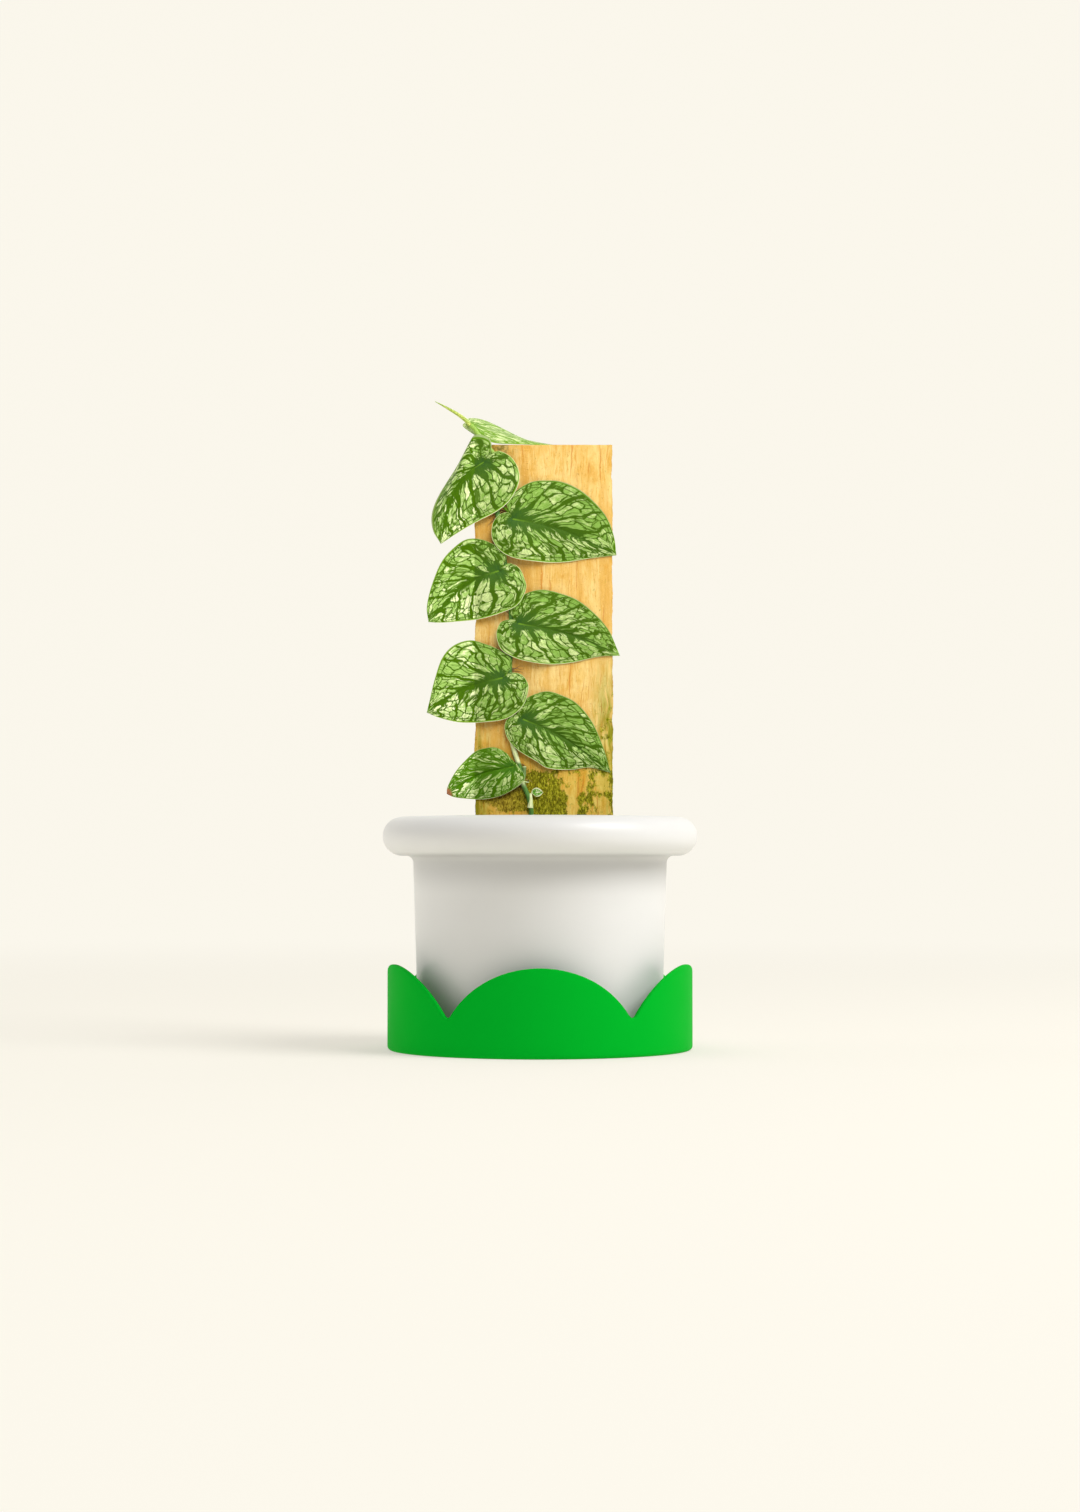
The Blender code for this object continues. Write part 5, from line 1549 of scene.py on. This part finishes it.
class Blade:
    """The grid of one blade: rows that fan from the midrib to both margins."""

    def __init__(self, midrib, sides, rows, columns):
        self.rows, self.columns = rows, columns
        share = np.arange(rows + 1) / rows
        sweep = np.clip((share - LOBE_SHARE) / (1.0 - LOBE_SHARE), 0.0, 1.0) ** VEIN_SWEEP
        rib = along(midrib, sweep)
        across = (np.arange(columns + 1) / columns)[None, :, None]
        self.ids = -np.ones((2, rows + 1, columns + 1), int)
        spots, maps = [], []
        for half, side in enumerate(sides):
            grid = rib[:, None, :] * (1.0 - across) + along(side, share)[:, None, :] * across
            for row in range(rows + 1):
                for column in range(columns + 1):
                    twin = self.twin(half, row, column)
                    if twin is not None:
                        self.ids[half, row, column] = self.ids[twin]
                        continue
                    self.ids[half, row, column] = len(spots)
                    spots.append(grid[row, column])
                    maps.append((share[row], column / columns * (1 if half == 0 else -1)))
        self.spots, self.maps = np.array(spots), np.array(maps)
        self.faces, self.corner_maps = [], []
        for half in (0, 1):
            turn = 1 if half == 0 else -1
            for row in range(rows):
                for column in range(columns):
                    self.add_face([(half, row, column), (half, row + 1, column), (half, row + 1, column + 1),
                                   (half, row, column + 1)][::turn])

    def twin(self, half, row, column):
        """The corner met earlier that is the same point as this one, if there is one."""
        if row == self.rows:
            return (0, self.rows, 0) if (half, column) != (0, 0) else None
        if column == 0:
            base = row / self.rows <= LOBE_SHARE
            if base and (half, row) != (0, 0):
                return (0, 0, 0)
            return (0, row, 0) if half else None
        return (0, 0, column) if half and row == 0 else None

    def add_face(self, corners):
        kept = []
        for corner in corners:
            if self.ids[corner] not in [self.ids[other] for other in kept]:
                kept.append(corner)
        if len(kept) < 3:
            return
        self.faces.append([self.ids[corner] for corner in kept])
        sign = 1 if corners[0][0] == 0 else -1
        self.corner_maps.append([(row / self.rows, sign * column / self.columns) for _, row, column in kept])

    def crowd_upper(self, gain):
        """Crowd the upper half's marks toward the midrib, with the margin left at one."""
        self.corner_maps = [[(u, v * (1.0 + gain * (1.0 - v)) if v > 0.0 else v) for u, v in corners]
                            for corners in self.corner_maps]

    def margin(self):
        """The ids along the outer edge, once round."""
        upper = [self.ids[0, row, -1] for row in range(self.rows + 1)]
        lower = [self.ids[1, row, -1] for row in range(self.rows - 1, 0, -1)]
        return upper + lower


def point_normals(points, faces):
    """The normal at each point, from the triangles round it."""
    triangles = np.array([(face[0], face[i], face[i + 1])
                          for face in faces for i in range(1, len(face) - 1)])
    a, b, c = (points[triangles[:, k]] for k in range(3))
    flat = np.cross(b - a, c - a)
    normals = np.zeros_like(points)
    for k in range(3):
        np.add.at(normals, triangles[:, k], flat)
    return normals / np.maximum(np.linalg.norm(normals, axis=1), 1e-9)[:, None]


def relief(blade, crown, depth):
    """How far the upper side stands out of a flat blade: arched halves and a sunk midrib."""
    share, across = blade.maps[:, 0], np.abs(blade.maps[:, 1])
    taper = smoothstep(share, 0.0, 0.2) * smoothstep(share, 1.0, 0.75)
    arch = crown * np.sin(math.pi * np.clip(across, 0.0, 1.0) ** 0.8) * taper
    channel = depth * np.exp(-(across / 0.035) ** 2) * smoothstep(share, 1.0, 0.8)
    return arch, channel


def thicken(name, blade, middle, thickness, looks, facing, crown=0.0, depth=0.0):
    """Give a blade its two sides, thin at the margin, and a map that its finish reads."""
    normals = point_normals(middle, blade.faces)
    if np.sum(normals @ np.array(facing)) < 0.0:
        normals = -normals
        blade.faces = [face[::-1] for face in blade.faces]
        blade.corner_maps = [corners[::-1] for corners in blade.corner_maps]
    arch, channel = relief(blade, crown, depth)
    across = np.abs(blade.maps[:, 1])
    half = 0.5 * thickness * (0.35 + 0.65 * np.sqrt(1.0 - np.clip(across, 0.0, 1.0) ** 6))
    middle = middle + normals * arch[:, None]
    front = middle + normals * (half - channel)[:, None]
    back = middle - normals * (half + 0.8 * channel)[:, None]
    count = len(front)
    faces = [list(face) for face in blade.faces]
    maps = list(blade.corner_maps)
    looks_of = [0] * len(faces)
    for face, corners in zip(blade.faces, blade.corner_maps):
        faces.append([corner + count for corner in face[::-1]])
        maps.append(corners[::-1])
        looks_of.append(1)
    used = {(face[i], face[(i + 1) % len(face)]) for face in blade.faces for i in range(len(face))}
    ring = blade.margin()
    for first, second in zip(ring, ring[1:] + ring[:1]):
        if (first, second) in used:
            first, second = second, first
        faces.append([first, second, second + count, first + count])
        maps.append([tuple(blade.maps[corner]) for corner in (first, second, second, first)])
        looks_of.append(0)
    piece = make_piece(name, np.vstack([front, back]), faces, looks, looks_of, sharp=70.0)
    layer = piece.data.uv_layers.new(name="blade")
    layer.data.foreach_set("uv", np.array([pair for corners in maps for pair in corners]).ravel())
    return piece


def join_tube(piece, points, radii, look_index=0, sides=14):
    """Add a stalk to a blade's mesh. The stalk keeps the blade's map at its base."""
    mesh = piece.data
    stalk_points, stalk_faces = tube(points, radii, sides)
    stalk = make_piece(piece.name + "_stalk", stalk_points, stalk_faces, list(mesh.materials))
    stalk.data.uv_layers.new(name="blade")
    spots = np.full((len(stalk.data.loops), 2), (0.0, 0.97))
    stalk.data.uv_layers[0].data.foreach_set("uv", spots.ravel())
    stalk.data.polygons.foreach_set("material_index", [look_index] * len(stalk.data.polygons))
    with bpy.context.temp_override(active_object=piece, selected_editable_objects=[piece, stalk]):
        bpy.ops.object.join()


def stem_at(height):
    return STEM_LINE[np.argmin(np.abs(STEM_LINE[:, 1] - height)), 0]


def petiole_line(leaf, midrib, height_off):
    """From inside the blade, out through the notch and back to the stem's side."""
    attach = np.array(leaf["attach"])
    notch = attach + leaf["notch"]
    inside = along(midrib, [0.10])[0]
    rise = leaf.get("petiole_rise", PETIOLE_RISE)
    end_z = attach[1] + rise
    end_x = stem_at(end_z) + leaf["stem_side"] * (STEM_RADIUS + PETIOLE_RADIUS + NODE_SWELL + GAP)
    seat = GAP + STEM_RADIUS
    line = [on_board(*inside, height_off - 0.45), on_board(*attach, height_off - 0.35)]
    if rise > 0.0:
        line.append(on_board(*notch, height_off - 0.5))
        middle = 0.45 * notch + 0.55 * np.array([end_x, end_z])
    else:
        middle = 0.5 * (attach + np.array([end_x, end_z]))
    line.append(on_board(*middle, 0.5 * (height_off + seat)))
    line.append(on_board(end_x, end_z, seat))
    return along(spline(line), np.linspace(0.0, 1.0, 33))


def build_leaves(look):
    """Every pressed leaf, as a finely quilted blade with its petiole."""
    looks = [leaf_finish(look), leaf_back_finish(look)]
    for number, (name, leaf) in enumerate(LEAVES.items()):
        midrib, sides = leaf_curves(leaf)
        blade = Blade(midrib, sides, **BLADE_GRID)
        off = blade_height(blade.spots, leaf["tuck"])
        if name == FOLDED:
            middle = fold_back(blade.spots, leaf, off)
            blade.crowd_upper(FOLD_CROWDING)
        else:
            middle = on_board(blade.spots[:, 0], blade.spots[:, 1], off)
        middle[:, 1] -= BLADE_WAVE * (swirl(blade.spots, BLADE_WAVE_WIDTH, number) + 1.0)
        piece = thicken(name + "_blade", blade, middle, look.thickness, looks, (0.0, -1.0, 0.0),
                        look.crown, MIDRIB_DEPTH)
        at_attach = blade_height(np.array([leaf["attach"]]), leaf["tuck"])[0]
        stalk = petiole_line(leaf, midrib, at_attach)
        join_tube(piece, stalk, np.linspace(0.55, PETIOLE_RADIUS, len(stalk)))
        add_value(piece, "number", FOLDED_NUMBER if name == FOLDED else float(number + 1))
        add_value(piece, "silver", leaf["silver"])
        add_value(piece, "dry", dried(piece, name, leaf))
        settle(piece, "leaf", name)


def dried(piece, name, leaf):
    """How dry each point is. Only one leaf has a brown tip."""
    points = np.array([vert.co for vert in piece.data.vertices]) / MM
    if name != DRIED:
        return np.zeros(len(points))
    tip = np.array(leaf["attach"]) + leaf["tip"]
    away = np.linalg.norm(points[:, [0, 2]] - tip, axis=1) + 0.9 * swirl(points, 1.6)
    return smoothstep(away, DRIED_LENGTH, DRIED_LENGTH - 1.6)


def build_tiny_leaf(look):
    """The small leaf at the tip of the lowest bract."""
    attach = np.array(TINY_ATTACH)
    tip = attach + TINY_TIP
    midrib = spline([attach, 0.5 * (attach + tip), tip])
    sides = [spline(np.vstack([[attach + TINY_NOTCH], attach + side, [tip]]))
             for side in (np.array(TINY_UPPER), np.array(TINY_LOWER))]
    blade = Blade(midrib, sides, **TINY_GRID)
    middle = on_board(blade.spots[:, 0], blade.spots[:, 1], TINY_OFF_BOARD)
    middle[:, 1] -= 0.35 * np.abs(blade.maps[:, 1]) ** 2
    looks = [tiny_leaf_finish(look), bpy.data.materials["leaf underside"]]
    piece = thicken("leaf_tiny_blade", blade, middle, TINY_THICKNESS, looks, (0.0, -1.0, 0.0), 0.12, 0.06)
    add_value(piece, "number", 9.0)
    add_value(piece, "dry", 0.0)
    settle(piece, "leaf", "leaf_tiny")


def build_young_leaves(look):
    """The pale leaf across the board's end, and the rolled one beyond it."""
    midrib = spline([TOP_ATTACH] + TOP_MIDRIB + [TOP_TIP])
    sides = [spline([TOP_NOTCH] + side + [TOP_TIP]) for side in (TOP_BACK, TOP_FRONT)]
    blade = Blade(midrib, sides, **BLADE_GRID)
    finish = young_finish(look)
    piece = thicken("leaf_top_blade", blade, blade.spots, YOUNG_THICKNESS, [finish, finish],
                    (0.0, -0.4, 1.0), 0.4, 0.15)
    stalk = along(spline([along(midrib, [0.06])[0], TOP_ATTACH] + TOP_PETIOLE), np.linspace(0.0, 1.0, 25))
    join_tube(piece, stalk, np.linspace(0.6, PETIOLE_RADIUS, len(stalk)))
    settle(piece, "young_leaf", "leaf_top")

    line = stem_curve()
    ahead = (line[-1] - line[-2]) / np.linalg.norm(line[-1] - line[-2])
    path = spline(np.vstack([[line[-1] + ahead * GAP], SPEAR]))
    shares = np.linspace(0.0, 1.0, 90)
    radii = np.interp(shares, np.linspace(0.0, 1.0, len(SPEAR_RADII)), SPEAR_RADII)
    points, faces = tube(along(path, shares), radii, sides=20)
    spear = make_piece("growing_tip_rolled", points, faces, [spear_finish(look)])
    settle(spear, "young_leaf", "growing_tip")


# Stage

def stage_finish(look):
    """Matt paper that gives off most of its own brightness, more of it far from the plant."""
    made, tree, shader = new_look("pale paper backdrop")
    spot = add(tree, "ShaderNodeTexCoord").outputs["Object"]
    away = add(tree, "ShaderNodeVectorMath", spot, operation="LENGTH").outputs["Value"]
    far = ease(tree, away, 0.3, 2.6)
    matt = blend(tree, far, tinted(look.backdrop, (1.0 - look.glow,) * 3),
                 tinted(look.backdrop, (1.0 - FAR_GLOW,) * 3))
    lit = blend(tree, far, tinted(look.backdrop, (look.glow,) * 3), tinted(look.backdrop, (FAR_GLOW,) * 3))
    dress(tree, shader, Base_Color=matt, Roughness=1.0, Specular_IOR_Level=0.0,
          Emission_Color=lit, Emission_Strength=1.0)
    return made


def add_light(name, power, size, place, target, height=None):
    """A soft panel light at a place, aimed at a target, both in metres."""
    lamp = bpy.data.lights.new(name, "AREA")
    lamp.energy = power
    lamp.shape = "RECTANGLE"
    lamp.size = size
    lamp.size_y = height or size
    made = new_object(name, lamp)
    made.location = place
    made.rotation_euler = (Vector(target) - Vector(place)).to_track_quat("-Z", "Y").to_euler()
    return made


def build_stage(look):
    """A pale sweep of floor and backdrop, soft lights and the camera."""
    half_width, front, turn, reach = 6.0, -5.0, 3.0, 1.5
    profile = [(front, 0.0), (0.0, 0.0), (turn, 0.0)]
    profile += [(turn + reach * math.sin(a), reach * (1 - math.cos(a)))
                for a in np.radians(np.linspace(5, 90, 18))]
    profile += [(turn + reach, 5.0)]
    points = [(x, y, z) for y, z in profile for x in (-half_width, half_width)]
    faces = [(2 * i, 2 * i + 1, 2 * i + 3, 2 * i + 2) for i in range(len(profile) - 1)]
    sweep = make_piece("backdrop", np.array(points) / MM, faces, [stage_finish(look)])

    lens = bpy.data.cameras.new("camera")
    lens.sensor_fit = "VERTICAL"
    lens.sensor_height = SENSOR
    lens.lens = SENSOR * FOCAL_PIXELS / PHOTO_HEIGHT
    lens.clip_start = 0.01
    lens.clip_end = 50.0
    camera = new_object("camera", lens)
    camera.location = (0.0, -look.distance, look.height)
    camera.rotation_euler = (math.pi / 2 + look.tilt, 0.0, 0.0)
    scene = bpy.context.scene
    scene.camera = camera

    add_light("key", look.key, 2.2, KEY_PLACE, LIGHT_TARGET)
    add_light("side", look.side, 2.6, SIDE_PLACE, LIGHT_TARGET, height=1.9)
    left = add_light("left", look.left, 2.0, LEFT_PLACE, LIGHT_TARGET)
    left.visible_glossy = False
    plant = add_light("plant light", look.plant, 0.9, PLANT_LIGHT_PLACE, PLANT_LIGHT_TARGET)
    lit = bpy.data.collections.new("lit by the plant light")
    for thing in scene.objects:
        if thing.type == "MESH" and thing.name.startswith(("leaf_", "vine_", "board_", "moss_", "growing_")):
            lit.objects.link(thing)
    plant.light_linking.receiver_collection = lit

    world = bpy.data.worlds.new("studio")
    world.use_nodes = True
    tree = world.node_tree
    shader = tree.nodes["Background"]
    toward = unpacked(tree, add(tree, "ShaderNodeTexCoord").outputs["Generated"])[1]
    room = tinted((1.0, 0.985, 0.95), (look.room,) * 3)
    light = blend(tree, ease(tree, toward, -0.9, 0.1), tinted(room, (0.55,) * 3), room)
    seen = add(tree, "ShaderNodeLightPath").outputs["Is Camera Ray"]
    fill(tree, shader.inputs["Color"], blend(tree, seen, light, look.backdrop))
    scene.world = world
    scene.view_settings.view_transform = "Standard"
    scene.view_settings.look = "None"


class PLANT_OT_saucer(bpy.types.Operator):
    """Make the glazed saucer."""
    bl_idname = "shingle_plant.saucer"
    bl_label = "Saucer"

    def execute(self, context):
        build_saucer(context.scene.saucer_look)
        return {"FINISHED"}


class PLANT_OT_pot(bpy.types.Operator):
    """Make the glazed pot."""
    bl_idname = "shingle_plant.pot"
    bl_label = "Pot"

    def execute(self, context):
        build_pot(context.scene.pot_look)
        return {"FINISHED"}


class PLANT_OT_soil(bpy.types.Operator):
    """Make the surface of the potting mix and all that is strewn on it."""
    bl_idname = "shingle_plant.soil"
    bl_label = "Potting mix"

    def execute(self, context):
        build_soil(context.scene.soil_look)
        return {"FINISHED"}


class PLANT_OT_board(bpy.types.Operator):
    """Make the sawn board and the moss on it."""
    bl_idname = "shingle_plant.board"
    bl_label = "Board and moss"

    def execute(self, context):
        build_board(context.scene.board_look)
        return {"FINISHED"}


class PLANT_OT_vine(bpy.types.Operator):
    """Make the climbing stem and its roots."""
    bl_idname = "shingle_plant.vine"
    bl_label = "Vine"

    def execute(self, context):
        build_vine(context.scene.vine_look)
        return {"FINISHED"}


class PLANT_OT_leaves(bpy.types.Operator):
    """Make the leaves pressed to the board, and the tiny one."""
    bl_idname = "shingle_plant.leaves"
    bl_label = "Leaves"

    def execute(self, context):
        build_leaves(context.scene.leaf_look)
        build_tiny_leaf(context.scene.leaf_look)
        return {"FINISHED"}


class PLANT_OT_young(bpy.types.Operator):
    """Make the youngest leaf and the rolled one."""
    bl_idname = "shingle_plant.young"
    bl_label = "Young leaves"

    def execute(self, context):
        build_young_leaves(context.scene.young_look)
        return {"FINISHED"}


class PLANT_OT_stage(bpy.types.Operator):
    """Set up the backdrop, the lights and the camera."""
    bl_idname = "shingle_plant.stage"
    bl_label = "Stage"

    def execute(self, context):
        build_stage(context.scene.stage_look)
        return {"FINISHED"}


class PLANT_PT_looks(bpy.types.Panel):
    """Every step of the plant's looks, with its settings."""
    bl_idname = "PLANT_PT_looks"
    bl_label = "Shingle Plant"
    bl_space_type = "VIEW_3D"
    bl_region_type = "UI"
    bl_category = "Shingle Plant"

    def draw(self, context):
        for operator, setting in STEPS:
            box = self.layout.box()
            box.operator(operator.bl_idname)
            group = getattr(context.scene, setting)
            for key in group.__annotations__:
                box.prop(group, key)


GROUPS = {"saucer_look": SaucerLook, "pot_look": PotLook, "soil_look": SoilLook, "board_look": BoardLook,
          "vine_look": VineLook, "leaf_look": LeafLook, "young_look": YoungLook, "stage_look": StageLook}
STEPS = [(PLANT_OT_saucer, "saucer_look"), (PLANT_OT_pot, "pot_look"), (PLANT_OT_soil, "soil_look"),
         (PLANT_OT_board, "board_look"), (PLANT_OT_vine, "vine_look"), (PLANT_OT_leaves, "leaf_look"),
         (PLANT_OT_young, "young_look"), (PLANT_OT_stage, "stage_look")]
CLASSES = list(GROUPS.values()) + [operator for operator, _ in STEPS] + [PLANT_PT_looks]


def register():
    for kind in CLASSES:
        bpy.utils.register_class(kind)
    for setting, group in GROUPS.items():
        setattr(bpy.types.Scene, setting, bpy.props.PointerProperty(type=group))


def unregister():
    for setting in GROUPS:
        delattr(bpy.types.Scene, setting)
    for kind in reversed(CLASSES):
        bpy.utils.unregister_class(kind)


def main():
    register()
    bpy.ops.shingle_plant.saucer()
    bpy.ops.shingle_plant.pot()
    bpy.ops.shingle_plant.soil()
    bpy.ops.shingle_plant.board()
    bpy.ops.shingle_plant.vine()
    bpy.ops.shingle_plant.leaves()
    bpy.ops.shingle_plant.young()
    bpy.ops.shingle_plant.stage()


if __name__ == "__main__":
    main()
